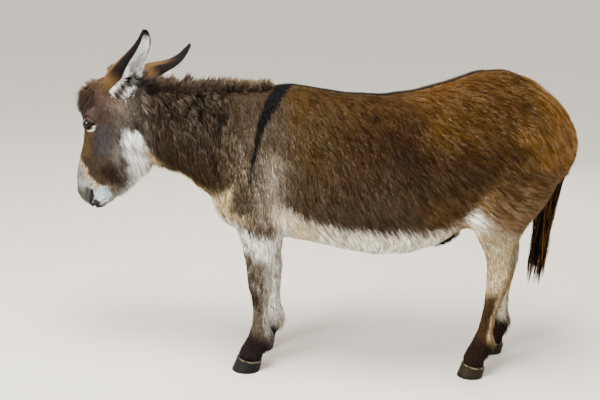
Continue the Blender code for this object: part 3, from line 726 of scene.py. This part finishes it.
def coloured_material(name, grain, stretch, tones, roughness, gloss, sheen=0.0, bump=None):
    """The mesh's own colour with a fine grain over it: hair, hide, horn or the eye.

    grain is the noise's scale and detail, stretch how it is drawn out in height, tones what the noise
    runs from and to, and the lightness it gives there. bump is the grain's strength and depth."""
    made = bpy.data.materials.new(name)
    made.use_nodes = True
    nodes, links = made.node_tree.nodes, made.node_tree.links

    def node(kind, **sockets):
        fresh = nodes.new("ShaderNode" + kind)
        for socket, value in sockets.items():
            fresh.inputs[socket.replace("_", " ")].default_value = value
        return fresh

    shader = nodes["Principled BSDF"]
    shader.inputs["Roughness"].default_value = roughness
    shader.inputs["Specular IOR Level"].default_value = gloss
    shader.inputs["Sheen Weight"].default_value = sheen
    stored, place = node("Attribute"), node("TexCoord")
    stored.attribute_name = "coat_colour"
    drawn_out = node("Mapping", Scale=(1.0, 1.0, stretch))
    noise = node("TexNoise", Scale=grain[0], Detail=grain[1])
    ramp = node("MapRange", From_Min=tones[0], From_Max=tones[1], To_Min=tones[2], To_Max=tones[3])
    mix = node("VectorMath")
    mix.operation = "SCALE"
    wires = [
        (place, "Object", drawn_out, "Vector"), (drawn_out, "Vector", noise, "Vector"),
        (noise, "Fac", ramp, "Value"), (stored, "Color", mix, 0), (ramp, "Result", mix, "Scale"),
        (mix, "Vector", shader, "Base Color"),
    ]
    if bump:
        raised = node("Bump", Strength=bump[0], Distance=bump[1])
        wires += [(noise, "Fac", raised, "Height"), (raised, "Normal", shader, "Normal")]
    for source, output, target, socket in wires:
        links.new(source.outputs[output], target.inputs[socket])
    return made


HAIR_GRAIN, HAIR_TONES = (260.0, 3.0), (0.3, 0.7, 0.80, 1.18)
hide_material = coloured_material("hide", HAIR_GRAIN, 0.35, HAIR_TONES, 0.80, 0.04, 0.01, (0.6, 0.0012))
skin.data.materials.clear()
skin.data.materials.append(hide_material)
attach(skin, "root")
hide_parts(*FLESH, "ear_left", "ear_right")

# ------------------------------------------------------------------ eyes
# Wet brown balls, deep in the head behind the lids: a white that is all but hidden, a dark iris with a
# pupil that lies level, and a clear bulge over it.

CLEAR_RADIUS, CLEAR_RISE = 0.0150, 0.0016  # the clear front stands a little proud of the ball
IRIS_RADIUS = 0.0145
PUPIL = (0.0080, 0.0042)  # half length and half height

eye_material = coloured_material("eye_wet", (900.0, 2.0), 1.0, (0.0, 1.0, 0.6, 1.4), 0.12, 0.16)
for name, side in SIDES.items():
    centre, looks, along, across = eye_axes(side)
    bm = bmesh.new()
    turn = Matrix((along, across, looks)).transposed().to_4x4()
    if turn.determinant() < 0:
        turn = Matrix((along, -across, looks)).transposed().to_4x4()
    bmesh.ops.create_uvsphere(bm, u_segments=48, v_segments=32, radius=EYE_RADIUS)
    for vertex in bm.verts:
        ring = math.hypot(vertex.co.x, vertex.co.y)
        if vertex.co.z > 0 and ring < CLEAR_RADIUS:
            vertex.co.z += CLEAR_RISE * (1 - (ring / CLEAR_RADIUS) ** 2)
    bmesh.ops.transform(bm, matrix=Matrix.Translation(centre) @ turn, verts=bm.verts)
    eye = new_object("eyeball_" + name, bm)
    eye.data.shade_smooth()
    places = corners(eye.data) - np.array(centre)
    s, t, rise = (places @ np.array(way) for way in (along, across, looks))
    iris = fade(np.hypot(s, t) / IRIS_RADIUS, 1.05, 0.92)
    pupil = fade(np.hypot(s / PUPIL[0], t / PUPIL[1]), 1.1, 0.85)
    ahead = rise > 0
    colour_points(eye.data, paint((20, 15, 12), ((14, 9, 6), iris * ahead), ((5, 5, 7), pupil * ahead)))
    eye.data.materials.append(eye_material)
    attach(eye, "root")
    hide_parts("eye_" + name)

# ------------------------------------------------------------------ hooves
# Four small boxy hooves of dark horn that grew down from the coronet in rings, with a pale line at
# the top. Each stands flat on the floor.

HOOF_ROUND = 0.0022
RING_PITCH, RING_RISE = 34, 0.0005  # the growth rings: radians over the hoof's height, and height
CORONET_RISE = 0.0010
FLAT_FOOT = 0.04  # the share of the height that stays flat, over the floor

horn = coloured_material("horn", (420.0, 4.0), 0.12, (0.0, 1.0, 0.55, 1.45), 0.55, 0.10, 0.0, (0.4, 0.0008))
for name in ("hoof_fore_left", "hoof_fore_right", "hoof_hind_left", "hoof_hind_right"):
    bm = merged(name)
    low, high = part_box(name)
    sharp = [edge for edge in bm.edges if edge.calc_face_angle(0.0) > 0.6]
    bmesh.ops.bevel(bm, geom=sharp, offset=HOOF_ROUND, segments=2, profile=0.5, affect="EDGES", material=-1)
    upright = [edge for edge in bm.edges if abs(edge.verts[0].co.z - edge.verts[1].co.z) > 0.012]
    bmesh.ops.subdivide_edges(bm, edges=upright, cuts=5, use_grid_fill=True)
    bmesh.ops.triangulate(bm, faces=bm.faces)
    middle = Vector((low[0] + high[0], low[1] + high[1], 0)) / 2
    for vertex in bm.verts:
        tall = vertex.co.z / high[2]
        if tall < FLAT_FOOT:
            continue
        away = Vector((vertex.co.x - middle.x, vertex.co.y - middle.y, 0))
        slope = (vertex.co.x - low[0]) / (high[0] - low[0])
        rings = math.sin((tall + 0.25 * slope) * RING_PITCH) * RING_RISE
        bulge = CORONET_RISE * math.exp(-(((tall - 0.93 + 0.30 * slope) / 0.07) ** 2))
        vertex.co += away.normalized() * (rings + bulge)
    made = new_object(name.replace("hoof", "horn"), bm)
    made.data.shade_smooth()
    places = corners(made.data)
    tall = places[:, 2] / high[2] + 0.33 * (places[:, 0] - low[0]) / (high[0] - low[0])
    coronet = fade(tall, 0.97, 0.985) * fade(tall, 1.03, 1.0) * fade(drift(places, 0.024, 41), -0.8, 0.5)
    colour_points(made.data, paint(
        (27, 25, 19) if "fore" in name else (46, 36, 18),
        ((24, 21, 17), fade(tall, 0.5, 0.1)),
        ((140, 126, 100), coronet * 0.5),
    ))
    made.data.materials.clear()
    made.data.materials.append(horn)
    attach(made, "root")
    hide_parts(name)

# ------------------------------------------------------------------ short coat
# Dense hair over the whole hide, in fine tufts that lie back and down along the body. It is shortest
# on the face and feet, and longest on the neck, where it is matted into soft locks.

PATCH = 0.003  # each tuft's patch on the unwrap of the hide
ROOT_DEPTH = 0.0008
# Distance between tufts
BODY_GAP, NECK_GAP, LEG_GAP, HEAD_GAP = 0.0033, 0.0034, 0.0030, 0.0026
# How much single tufts differ: turn in radians, then what length, lift and lightness are multiplied by
TURN_SCATTER, LONG_SPAN, LIFT_SPAN, TONE_SPAN = 0.07, (0.7, 1.2), (0.4, 1.6), (0.68, 1.32)
LIFT_LIMITS, TONE_LIMITS = (0.03, 1.2), (0.35, 1.9)
ARCH = 0.35  # how much a long tuft rises on its way, as a share of its length
SLIMMER, RIDGE = 0.55, 0.4  # a tuft thins by this share to its last ring; its height to its width
ROOT_SHADE, TIP_MORE = 0.56, 0.60  # painted shade: tufts darkest at the root, lighter towards the tip
LEADS_TRIED, ASIDE_COSTS = 9, 20
# Place along the body, and how many degrees below level the hair points
SLANT = ((-0.70, 66), (-0.45, 60), (-0.30, 72), (-0.20, 80), (-0.05, 64), (0.15, 58), (0.30, 50),
         (0.42, 38), (0.56, 32), (0.72, 46))
LEG_SLANT, THIGH_SLANT = 86, 24

chance = np.random.default_rng(7)
hair_material = coloured_material("hair", HAIR_GRAIN, 0.35, HAIR_TONES, 0.70, 0.04, 0.01)


def head_share(points):
    """1 on the head, 0 behind the line from the poll to the throat."""
    return fade(behind_head(points), 0.025, -0.030)


def neck_share(points):
    x, y, z = points.T
    return (1 - head_share(points)) * fade(x + 0.4 * (z - 0.85), -0.26, -0.36) * fade(z, 0.60, 0.70)


def along_hide(ways, normals):
    """Lays directions flat on the hide."""
    ways = ways - normals * np.sum(ways * normals, 1)[:, None]
    return ways / np.maximum(np.linalg.norm(ways, axis=1), 1e-6)[:, None]


def hair_lie(points, normals):
    """Which way the hair lies, along the hide."""
    x, y, z = points.T
    side = np.sign(y)
    slant = blend(LEG_SLANT, along_line(SLANT, x), fade(z, 0.45, 0.62))
    thigh = fade(x, 0.56, 0.66) * fade(z, 0.52, 0.62) * fade(z, 0.86, 0.74)
    slant = blend(slant, THIGH_SLANT, thigh)
    neck = neck_share(points)
    slant = slant + 22 * neck * fade(z, 0.82, 0.92) * drift(points, 0.055, 23)
    slant = np.radians(slant + 6 * drift(points, 0.22, 21) + 2.5 * drift(points, 0.06, 22))
    way = np.stack([np.cos(slant), 0.5 * side * fade(normals[:, 2], 0.3, 0.9), -np.sin(slant)], 1)
    top = np.stack([1 - 0.7 * neck, (0.45 + 0.5 * neck) * side, np.full(len(x), -0.2)], 1)
    way = blend(way, top, fade(normals[:, 2], 0.86, 0.99)[:, None])
    down, front, out = head_places(points).T
    back = fade(front, 0.02, -0.08)[:, None]
    face = np.array(DOWN) * (1 - 0.35 * back) - np.array(FRONT) * (0.60 * back)
    face = face + np.array(OUT) * (0.25 * np.sign(out) * fade(front, 0.0, 0.08))[:, None]
    return along_hide(blend(way, face, head_share(points)[:, None]), normals)


def hair_size(points, normals):
    """Length and width of the tufts, and how far they stand out, as an angle."""
    x, y, z = points.T
    down, front, _ = head_places(points).T
    head, neck = head_share(points), neck_share(points)
    legs, low = fade(z, 0.56, 0.34), fade(z, 0.20, 0.10)
    upward, downward = normals[:, 2], -normals[:, 2]
    rear = fade(normals[:, 0], 0.2, 0.8) * fade(z, 0.07, 0.10)
    dock = mound((x - 0.695) / 0.04, y / 0.05) * fade(z, 0.96, 1.0)
    # body and neck, then legs
    long = 0.028 + (0.012 + 0.012 * fade(upward, 0.2, 0.7)) * neck + 0.006 * fade(downward, 0.3, 0.8)
    wide = 0.0021 + 0.0011 * neck
    lift = 0.12 + 0.16 * neck + 0.30 * dock + 0.18 * neck * fade(upward, 0.1, 0.6)
    long = blend(long, 0.0150 - 0.004 * low + (0.009 + 0.009 * low) * rear, legs)
    wide = blend(wide, 0.0021, legs)
    lift = blend(lift, 0.14 + (0.12 + 0.25 * low) * rear, legs)
    # head, shortest round the eyes
    jaw = fade(-front, 0.04, 0.11)
    fringe = fade(-normals @ np.array(FRONT), 0.3, 0.8) * fade(down, 0.20, 0.26) * fade(down, 0.40, 0.36)
    brow = fade(front, 0.05, 0.10) * fade(down, 0.16, 0.10)
    short = (0.0110 + 0.009 * jaw + 0.022 * brow + 0.010 * fringe) * (1 - 0.5 * fade(down, 0.34, 0.40))
    for eye in eyes:
        near = np.linalg.norm(points - np.array(eye[0]), axis=1)
        short = short * (0.45 + 0.55 * fade(near, 0.028, 0.055))
    long = blend(long, short, head)
    wide = blend(wide, 0.0016 + 0.0007 * jaw + 0.0010 * brow, head)
    lift = blend(lift, 0.14 + 0.08 * jaw + 0.50 * brow + 0.30 * fringe, head)
    # the longer hair that hangs at the throat
    latch = mound((x + 0.604) / 0.036, (z - 0.722) / 0.034) * fade(downward, -0.1, 0.4)
    return long + 0.016 * latch, wide, lift + 0.34 * latch


def sow(points, normals, faces, spacing):
    """Roots spread over the faces, about one to spacing squared, their normals and their faces."""
    a, b, c = (points[faces[:, i]] for i in range(3))
    area = np.linalg.norm(np.cross(b - a, c - a), axis=1) / 2
    count = np.floor(area / spacing ** 2 + chance.random(len(faces))).astype(int)
    index = np.repeat(np.arange(len(faces)), count)
    u, v = chance.random(len(index)), chance.random(len(index))
    over = u + v > 1
    u[over], v[over] = 1 - u[over], 1 - v[over]
    shares = (1 - u - v, u, v)
    roots, bearing = (
        sum(values[faces[index, i]] * share[:, None] for i, share in enumerate(shares))
        for values in (points, normals)
    )
    return roots, bearing / np.linalg.norm(bearing, axis=1)[:, None], index


def locks(roots, across, share):
    """For each root, one of the few that lead a lock: near it, and more so across the lie than along it."""
    leads = np.flatnonzero(chance.random(len(roots)) < share)
    tree = tree_of(roots[leads])
    near = [[hit[1] for hit in tree.find_n(Vector(root), LEADS_TRIED)] for root in roots]
    near = leads[np.array(near)]
    gap = roots[near] - roots[:, None]
    aside = np.sum(gap * across[:, None], 2)
    reach = np.sum(gap * gap, 2) + ASIDE_COSTS * aside * aside
    return near[np.arange(len(roots)), reach.argmin(1)]


def hair_mesh(name, paths, across, up, wide, colours, where):
    """Tufts as one mesh. paths is tufts x steps x 3: each tuft is a three-sided spike along its path."""
    count, steps = len(paths), paths.shape[1] - 1
    width = wide[:, None]
    rings = []
    for i in range(steps):
        slim = 1 - SLIMMER * i / steps
        left, right = (paths[:, i] + sign * across * (width * slim / 2) for sign in (-1, 1))
        rings += [left, right, paths[:, i] + up * (width * slim * RIDGE)]
    verts = np.stack(rings + [paths[:, -1]], 1)
    size = verts.shape[1]
    faces = [(0, 2, 1)]
    for i in range(steps - 1):
        for k in range(3):
            a, b = 3 * i + k, 3 * i + (k + 1) % 3
            faces += [(a, b, b + 3), (a, b + 3, a + 3)]
    faces += [(size - 4 + k, size - 4 + (k + 1) % 3, size - 1) for k in range(3)]
    loops = (np.array(faces)[None] + (np.arange(count) * size)[:, None, None]).reshape(-1)
    mesh = bpy.data.meshes.new(name)
    mesh.vertices.add(count * size)
    mesh.vertices.foreach_set("co", verts.astype(np.float32).ravel())
    mesh.loops.add(len(loops))
    mesh.loops.foreach_set("vertex_index", loops.astype(np.int32))
    mesh.polygons.add(len(loops) // 3)
    mesh.polygons.foreach_set("loop_start", np.arange(0, len(loops), 3, dtype=np.int32))
    mesh.update(calc_edges=True)
    # painted shade: each tuft is darkest at its root and lighter towards its tip
    level = np.append(np.repeat(np.arange(steps), 3) / steps, 1.0)
    tone = ROOT_SHADE + TIP_MORE * level ** 0.7
    colour_points(mesh, (colours[:, None] * tone[None, :, None]).reshape(-1, 3))
    # a narrow upright triangle of the unwrap for each tuft
    base = np.array([(0.0, 0.0), (1.0, 0.0), (0.5, 0.25)])
    patch = [base * (1 - 0.8 * i / steps) + (0.4 * i / steps, 0.9 * i / steps) for i in range(steps)]
    spots = where[:, None] + np.concatenate(patch + [np.array([(0.5, 1.0)])])[None] * PATCH
    unwrap = mesh.uv_layers.new(name="OFBake")
    unwrap.data.foreach_set("uv", spots.reshape(-1, 2)[loops].astype(np.float32).ravel())
    made = bpy.data.objects.new(name, mesh)
    scene.collection.objects.link(made)
    mesh.materials.append(hair_material)
    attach(made, "root")
    return made


def tufts(name, roots, normals, lie, size, colour, where, lock, steps=1):
    """A piece of coat. size is length, width and lift; lock is share of leads, pull and tone."""
    long, wide, lift = size
    count = len(roots)
    turn = chance.normal(0, TURN_SCATTER, count)[:, None]
    lie = lie * np.cos(turn) + np.cross(normals, lie) * np.sin(turn)
    across = np.cross(normals, lie)
    long = long * chance.uniform(*LONG_SPAN, count)
    lift = np.clip(lift * chance.uniform(*LIFT_SPAN, count), *LIFT_LIMITS)
    way = lie * np.cos(lift)[:, None] + normals * np.sin(lift)[:, None]
    tips = roots + way * long[:, None]
    share, pull, spread_of_tone = lock
    lead = locks(roots, across, share)
    lean = tips[lead] - tips
    reach = np.linalg.norm(lean, axis=1)
    tips = tips + lean * (pull * np.minimum(1, long / np.maximum(reach, 1e-9)))[:, None]
    paths = [roots - normals * ROOT_DEPTH]
    for i in range(1, steps):
        level = i / steps
        rise = normals * (long * ARCH * level * (1 - level) * np.sin(lift + 0.3))[:, None]
        paths.append(roots + (tips - roots) * level + rise)
    paths.append(tips)
    tone = chance.uniform(*TONE_SPAN, count) + chance.normal(0, spread_of_tone, count)[lead]
    tone = np.clip(tone, *TONE_LIMITS)
    greyer = 0.30 * fade(tone, 0.95, 1.45) - 0.22 * fade(tone, 0.95, 0.55)
    colour = np.clip(paint(colour, (colour.mean(1, keepdims=True), greyer)), 0.0005, 0.95)
    return hair_mesh(name, np.stack(paths, 1), across, normals, wide, colour * tone[:, None], where)


def sheet(where):
    """Fits an unwrap in the sheet."""
    where = where - where.min(0)
    return 0.004 + where / np.maximum(where.max(0), 1e-6) * 0.988


skin.data.calc_loop_triangles()
all_faces = read(skin.data.loop_triangles, "vertices", np.int32)
faces = all_faces[all_faces.max(1) < ear_start]
middles = points[faces].mean(1)
mid_x, mid_y, mid_z = middles.T
on_face = head_share(middles) > 0.6
leg_top = np.where(mid_x < 0.15, 0.56, 0.60)
on_legs = (mid_z < leg_top) & ~((mid_x > -0.16) & (mid_x < 0.40) & (mid_z > 0.40))
on_neck = ~on_face & ~on_legs & (mid_x + 0.4 * (mid_z - 0.85) < -0.30)
on_body = ~on_face & ~on_legs & ~on_neck


def round_barrel(roots, axis_height):
    """Unwraps one side: along the body, and round it from the back."""
    return sheet(np.stack([roots[:, 0], np.arctan2(np.abs(roots[:, 1]), roots[:, 2] - axis_height)], 1))


def coat(name, roots, bearing, mixed, where, lock, steps=1):
    """A piece of the hide's coat. mixed is how far each tuft's colour comes from beside its root."""
    tufts("coat_" + name, roots, bearing, hair_lie(roots, bearing), hair_size(roots, bearing),
          coat_colour(roots + mixed, bearing), where, lock, steps)


for side, title in ((-1, "left"), (1, "right")):
    own = np.sign(mid_y) * side > 0
    for part, chosen in (("flank", on_body & (mid_x < 0.27)), ("quarter", on_body & (mid_x >= 0.27))):
        roots, bearing, _ = sow(points, normals, faces[chosen & own], BODY_GAP)
        mixed = chance.normal(0, 0.009, roots.shape) * fade(roots[:, 2], 0.70, 0.66)[:, None]
        coat(part + "_" + title, roots, bearing, mixed, round_barrel(roots, 0.76),
             (0.075, 0.05, 0.20 + 0.24 * fade(roots[:, 0], -0.20, 0.0)))
    roots, bearing, _ = sow(points, normals, faces[on_neck & own], NECK_GAP)
    high = fade(roots[:, 2] + 0.1 * roots[:, 0], 0.76, 0.86)
    coat("neck_" + title, roots, bearing, 0.0, round_barrel(roots, 0.82), (0.03, 0.34 + 0.20 * high, 0.34), 2)
for limb, ahead in (("fore", mid_x < 0.15), ("hind", mid_x >= 0.15)):
    roots, bearing, _ = sow(points, normals, faces[on_legs & ahead], LEG_GAP)
    right = roots[:, 1] > 0
    middle_x = -0.225 + 0.03 * right if limb == "fore" else 0.58 + 0.06 * right
    middle_y = np.where(right, 0.10, -0.10)
    where = sheet(np.stack([np.arctan2(roots[:, 1] - middle_y, roots[:, 0] - middle_x), roots[:, 2]], 1))
    where[:, 0] = where[:, 0] * 0.49 + 0.5 * right
    mixed = chance.normal(0, 0.004, roots.shape)
    coat("legs_" + limb, roots, bearing, mixed, where, (0.06, 0.3, 0.24))


def open_face(places):
    """Where the face grows hair: not in the nostrils, the mouth or between the lids."""
    down, front, out = head_places(places).T
    keep = np.ones(len(places), dtype=bool)
    for eye in eyes:
        s, t, near = over_eye(places, eye, 0.0)
        keep &= ~(near & (lid_reach(s, t) < 1.14))
    place = np.stack([down, front], 1)
    for line, gap, least in ((NOSTRIL, 0.0050, 0.018), (MOUTH, 0.003, 0.0)):
        for a, b in zip(np.array(line), np.array(line)[1:]):
            share = np.clip((place - a) @ (b - a) / ((b - a) @ (b - a)), 0, 1)
            reach = np.linalg.norm(place - a - share[:, None] * (b - a), axis=1)
            keep &= ~((reach < gap) & (np.abs(out) > least) & (down > 0.36))
    return keep


roots, bearing, _ = sow(points, normals, faces[on_face], HEAD_GAP)
keep = open_face(roots)
roots, bearing = roots[keep], bearing[keep]
down, front, out = head_places(roots).T
where = sheet(np.stack([np.arctan2(out, front + 0.03), down], 1))
shaggy = fade(front, 0.05, 0.10) * fade(down, 0.16, 0.10)
mixed = chance.normal(0, 0.0035, roots.shape) * fade(np.abs(down - 0.14), 0.02, 0.05)[:, None]
coat("head", roots, bearing, mixed, where, (0.05, 0.15 + 0.5 * shaggy, 0.26))

# ------------------------------------------------------------------ hair of the ears
# Short hair outside, lying towards the tip, a pale fringe inside both edges, and a soft plug of long
# pale hair that fills the opening's foot.

EAR_GAP = 0.0024
EAR_HAIR_WIDE = 0.0012
FIRST_INSIDE, LAST_HAIR = -0.05, 0.975  # shares of the ear's reach; outside, the hair starts at 0

ear_faces = all_faces[all_faces.min(1) >= ear_start]
roots, bearing, index = sow(points, normals, ear_faces, EAR_GAP)
first = ear_faces[index, 0] - ear_start
share, roll, inside, side = (values[first] for values in (ear_share, ear_roll, ear_inside, ear_side))
keep = (share > FIRST_INSIDE * inside) & (share < LAST_HAIR)
roots, bearing, share, roll, inside, side = (
    values[keep] for values in (roots, bearing, share, roll, inside, side))
lie, opening = np.empty_like(roots), np.empty_like(roots)
for name, sign in SIDES.items():
    for i in np.flatnonzero(side == sign):
        middle, breadth, opens = ear_axes(name, share[i])
        lie[i] = (ear_axes(name, share[i] + 0.03)[0] - middle).normalized()
        opening[i] = opens
plug = inside * fade(share, 0.52, 0.28) * fade(share, -0.05, -0.02)
spill = inside * fade(share, 0.10, 0.16) * fade(share, 0.32, 0.20)
fringe = inside * fade(np.abs(roll), 0.40, 0.75) * fade(share, 0.85, 0.45)
lie = along_hide(lie * (1 - 2 * spill)[:, None] + opening * (0.5 * fringe + spill)[:, None], bearing)
long = 0.0075 + 0.017 * fringe + 0.018 * plug
lift = 0.14 + 0.35 * fringe + 0.28 * plug
colour = np.clip(ear_colour(share, roll, inside), 0.001, 0.95)
pale = np.clip(plug * 1.2 + 0.6 * fringe, 0, 1) * (1 - ear_marks(share, roll))
colour = paint(colour, ((244, 242, 238), pale))
where = np.stack([(roll + 1) / 2 * 0.48 + 0.5 * (side > 0), share * 0.48 + 0.5 * inside], 1)
tufts("coat_ears", roots, bearing, lie, (long, np.full(len(share), EAR_HAIR_WIDE), lift), colour,
      where * 0.98 + 0.004, (0.06, 0.25, 0.08))

# ------------------------------------------------------------------ mane and forelock
# A short ragged mane of soft locks along the crest, from between the ears to the shoulder cross. Its locks
# are painted darker at the root, as shade within the mane, and pale at the tip, and fall a little to both
# sides.

MANE_GAP = 0.0027
MANE_LONG, MANE_WIDE = 0.064, 0.0036
MANE_FROM, MANE_TO = -0.735, -0.192


def crest_side(x):
    """Where the crest runs: to the right of the middle at the poll, on the middle from the neck on."""
    return 0.02 * fade(x, -0.40, -0.62)


lean = normals[faces[:, 0]]
on_crest = (lean[:, 2] > 0.35) & (mid_x > MANE_FROM) & (mid_x < MANE_TO) & (mid_z > 0.9)
ragged = 0.010 * drift(middles, 0.04, 36)
on_crest &= np.abs(mid_y - crest_side(mid_x)) < 0.040 + ragged - 0.006 * fade(mid_x, -0.62, -0.5)
roots, bearing, _ = sow(points, normals, faces[on_crest], MANE_GAP)
x, y, _ = roots.T
off = (y - crest_side(x)) / 0.025
poll = fade(x, -0.60, -0.66)
back = 0.45 + 0.35 * drift(roots, 0.05, 31) - 0.5 * poll
aside = off * 0.9 + 0.35 * drift(roots, 0.04, 32)
long = (MANE_LONG + 0.009 * drift(roots, 0.04, 33)) * fade(x, -0.78, -0.68)
long = long * (1 - 0.35 * fade(x, -0.34, -0.24)) * (1 - 0.75 * fade(x, -0.220, -0.196))
long = long * (1 - 0.35 * fade(np.abs(off), 0.7, 1.6))
lift = 1.16 - 0.42 * np.abs(off) - 0.15 * poll
colour = paint(
    (62, 50, 38),
    ((28, 22, 18), fade(drift(roots, 0.05, 34), -0.1, 0.8) * (1 - 0.8 * fade(x, -0.44, -0.34))),
    ((92, 77, 58), fade(drift(roots, 0.03, 35), 0.3, 1.0) * 0.6),
    ((92, 74, 54), poll * 0.6),
    ((90, 77, 60), fade(x, -0.40, -0.33)),
    (coat_colour(roots, bearing), fade(np.abs(off), 0.6, 1.2)),
)
mane = tufts("mane_locks", roots, bearing, along_hide(np.stack([back, aside, np.zeros_like(x)], 1), bearing),
             (long, np.full(len(x), MANE_WIDE), lift), colour, sheet(np.stack([x, off], 1)),
             (0.05, 0.45, 0.2), steps=3)
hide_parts("mane")

# ------------------------------------------------------------------ tail
# The switch: long coarse strands that grow from the lower dock and hang nearly straight, black with
# golden brown ones at the back, thinning to a few wisps.

# Height, distance behind the origin and half thickness of the switch
SWITCH = ((0.28, 0.776, 0.029), (0.38, 0.777, 0.032), (0.44, 0.777, 0.034), (0.51, 0.777, 0.032),
          (0.58, 0.779, 0.034), (0.64, 0.784, 0.033), (0.69, 0.794, 0.029), (0.727, 0.809, 0.025),
          (0.76, 0.826, 0.023), (0.80, 0.842, 0.021), (0.86, 0.840, 0.020))
STRANDS, JOINTS, BUNCHES = 950, 10, 26
FULL_TURN = 2 * math.pi
STRANDS_FROM, LOWEST = (0.70, 0.85), 0.275  # the heights they grow from, and the lowest tip's height
SHORTER = 0.26  # a strand ends at most this much above its bunch's end
STRAND_WIDE = (0.0022, 0.0042)

turn = chance.uniform(0, FULL_TURN, STRANDS)
deep = np.sqrt(chance.uniform(0.05, 1, STRANDS))
start = chance.uniform(*STRANDS_FROM, STRANDS)
bunch = np.floor(chance.uniform(0, BUNCHES, STRANDS)).astype(int)
end = LOWEST + chance.uniform(0.0, 0.15, BUNCHES)[bunch] + SHORTER * chance.beta(1.0, 2.6, STRANDS)
bunch_turn = chance.uniform(0, FULL_TURN, BUNCHES)[bunch]
bunch_deep = np.sqrt(chance.uniform(0.1, 1, BUNCHES))[bunch]
paths = np.empty((STRANDS, JOINTS + 1, 3))
for i in range(JOINTS + 1):
    level = i / JOINTS
    z = start + (end - start) * level
    half = along_line(SWITCH, z, 2)
    close = fade(np.float64(level), 0.3, 1.0) * 0.9
    off_x = blend(np.cos(turn) * deep, np.cos(bunch_turn) * bunch_deep, close)
    off_y = blend(np.sin(turn) * deep, np.sin(bunch_turn) * bunch_deep, close)
    sway = 0.003 * np.sin(z * 24 + bunch * 1.7) * level + 0.0012 * np.sin(z * 60 + turn * 3)
    paths[:, i, 0] = along_line(SWITCH, z) + off_x * half * 1.15 + sway
    paths[:, i, 1] = off_y * half * 0.85 + sway * 0.5
    paths[:, i, 2] = z
behind = np.cos(bunch_turn) * bunch_deep + chance.normal(0, 0.35, BUNCHES)[bunch]
behind = behind + chance.normal(0, 0.36, STRANDS)
gold = np.clip(fade(behind, 0.0, 0.50) * 0.85 + fade(-behind, 1.0, 1.25) * 0.6, 0, 1)
colour = paint((14, 8, 5), ((136, 96, 44), gold)) * chance.uniform(0.4, 1.5, STRANDS)[:, None]
across = np.stack([-np.sin(turn), np.cos(turn), np.zeros(STRANDS)], 1)
outward = np.stack([np.cos(turn), np.sin(turn), np.zeros(STRANDS)], 1)
switch = hair_mesh("tail_strands", paths, across, outward, chance.uniform(*STRAND_WIDE, STRANDS),
                   colour, sheet(np.stack([turn, start], 1)))
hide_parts("tail_switch")

# ------------------------------------------------------------------ floor, light and camera
# A plain pale floor, soft light from above and the near side, and a camera at a standing person's eye
# height.

bm = bmesh.new()
bmesh.ops.create_grid(bm, x_segments=1, y_segments=1, size=90.0)
floor = new_object("floor", bm)
pale = bpy.data.materials.new("floor_pale")
pale.use_nodes = True
pale.node_tree.nodes["Principled BSDF"].inputs["Base Color"].default_value = (0.30, 0.275, 0.24, 1.0)
pale.node_tree.nodes["Principled BSDF"].inputs["Roughness"].default_value = 0.9
floor.data.materials.append(pale)

world = bpy.data.worlds.new("studio")
scene.world = world
world.use_nodes = True
world.node_tree.nodes["Background"].inputs["Color"].default_value = (1.0, 0.97, 0.92, 1.0)
world.node_tree.nodes["Background"].inputs["Strength"].default_value = 2.7


def lamp(name, place, target, size, power, colour):
    light = bpy.data.lights.new(name, "AREA")
    light.shape = "DISK"
    light.size = size
    light.energy = power
    light.color = colour
    made = bpy.data.objects.new(name, light)
    scene.collection.objects.link(made)
    made.location = place
    made.rotation_euler = (Vector(target) - Vector(place)).to_track_quat("-Z", "Y").to_euler()


lamp("overhead", (-0.4, -0.9, 3.6), (0.0, 0.0, 0.7), 1.8, 680, (1.0, 0.97, 0.92))
lamp("near_side", (-2.8, -3.0, 2.1), (-0.3, 0.0, 0.75), 1.8, 620, (0.97, 0.98, 1.0))
lamp("far_side", (1.8, 2.8, 2.2), (0.0, 0.0, 0.7), 2.2, 120, (1.0, 0.98, 0.94))

CAMERA_AT = (-0.2360, -2.844, 1.400)
CAMERA_DOWN, CAMERA_TILT, CAMERA_TURN = math.radians(15.6), math.radians(2.6), math.radians(-3)
ahead = Vector((-math.sin(CAMERA_TURN) * math.cos(CAMERA_DOWN), math.cos(CAMERA_TURN) * math.cos(CAMERA_DOWN),
                -math.sin(CAMERA_DOWN)))
level = Vector((math.cos(CAMERA_TURN), math.sin(CAMERA_TURN), 0))
up = level.cross(ahead)
right = level * math.cos(CAMERA_TILT) + up * math.sin(CAMERA_TILT)
up = up * math.cos(CAMERA_TILT) - level * math.sin(CAMERA_TILT)
camera = bpy.data.objects.new("camera", bpy.data.cameras.new("camera"))
scene.collection.objects.link(camera)
camera.matrix_world = Matrix.Translation(CAMERA_AT) @ Matrix((right, up, -ahead)).transposed().to_4x4()
camera.data.lens = 51.0
camera.data.sensor_width = 36.0
scene.camera = camera
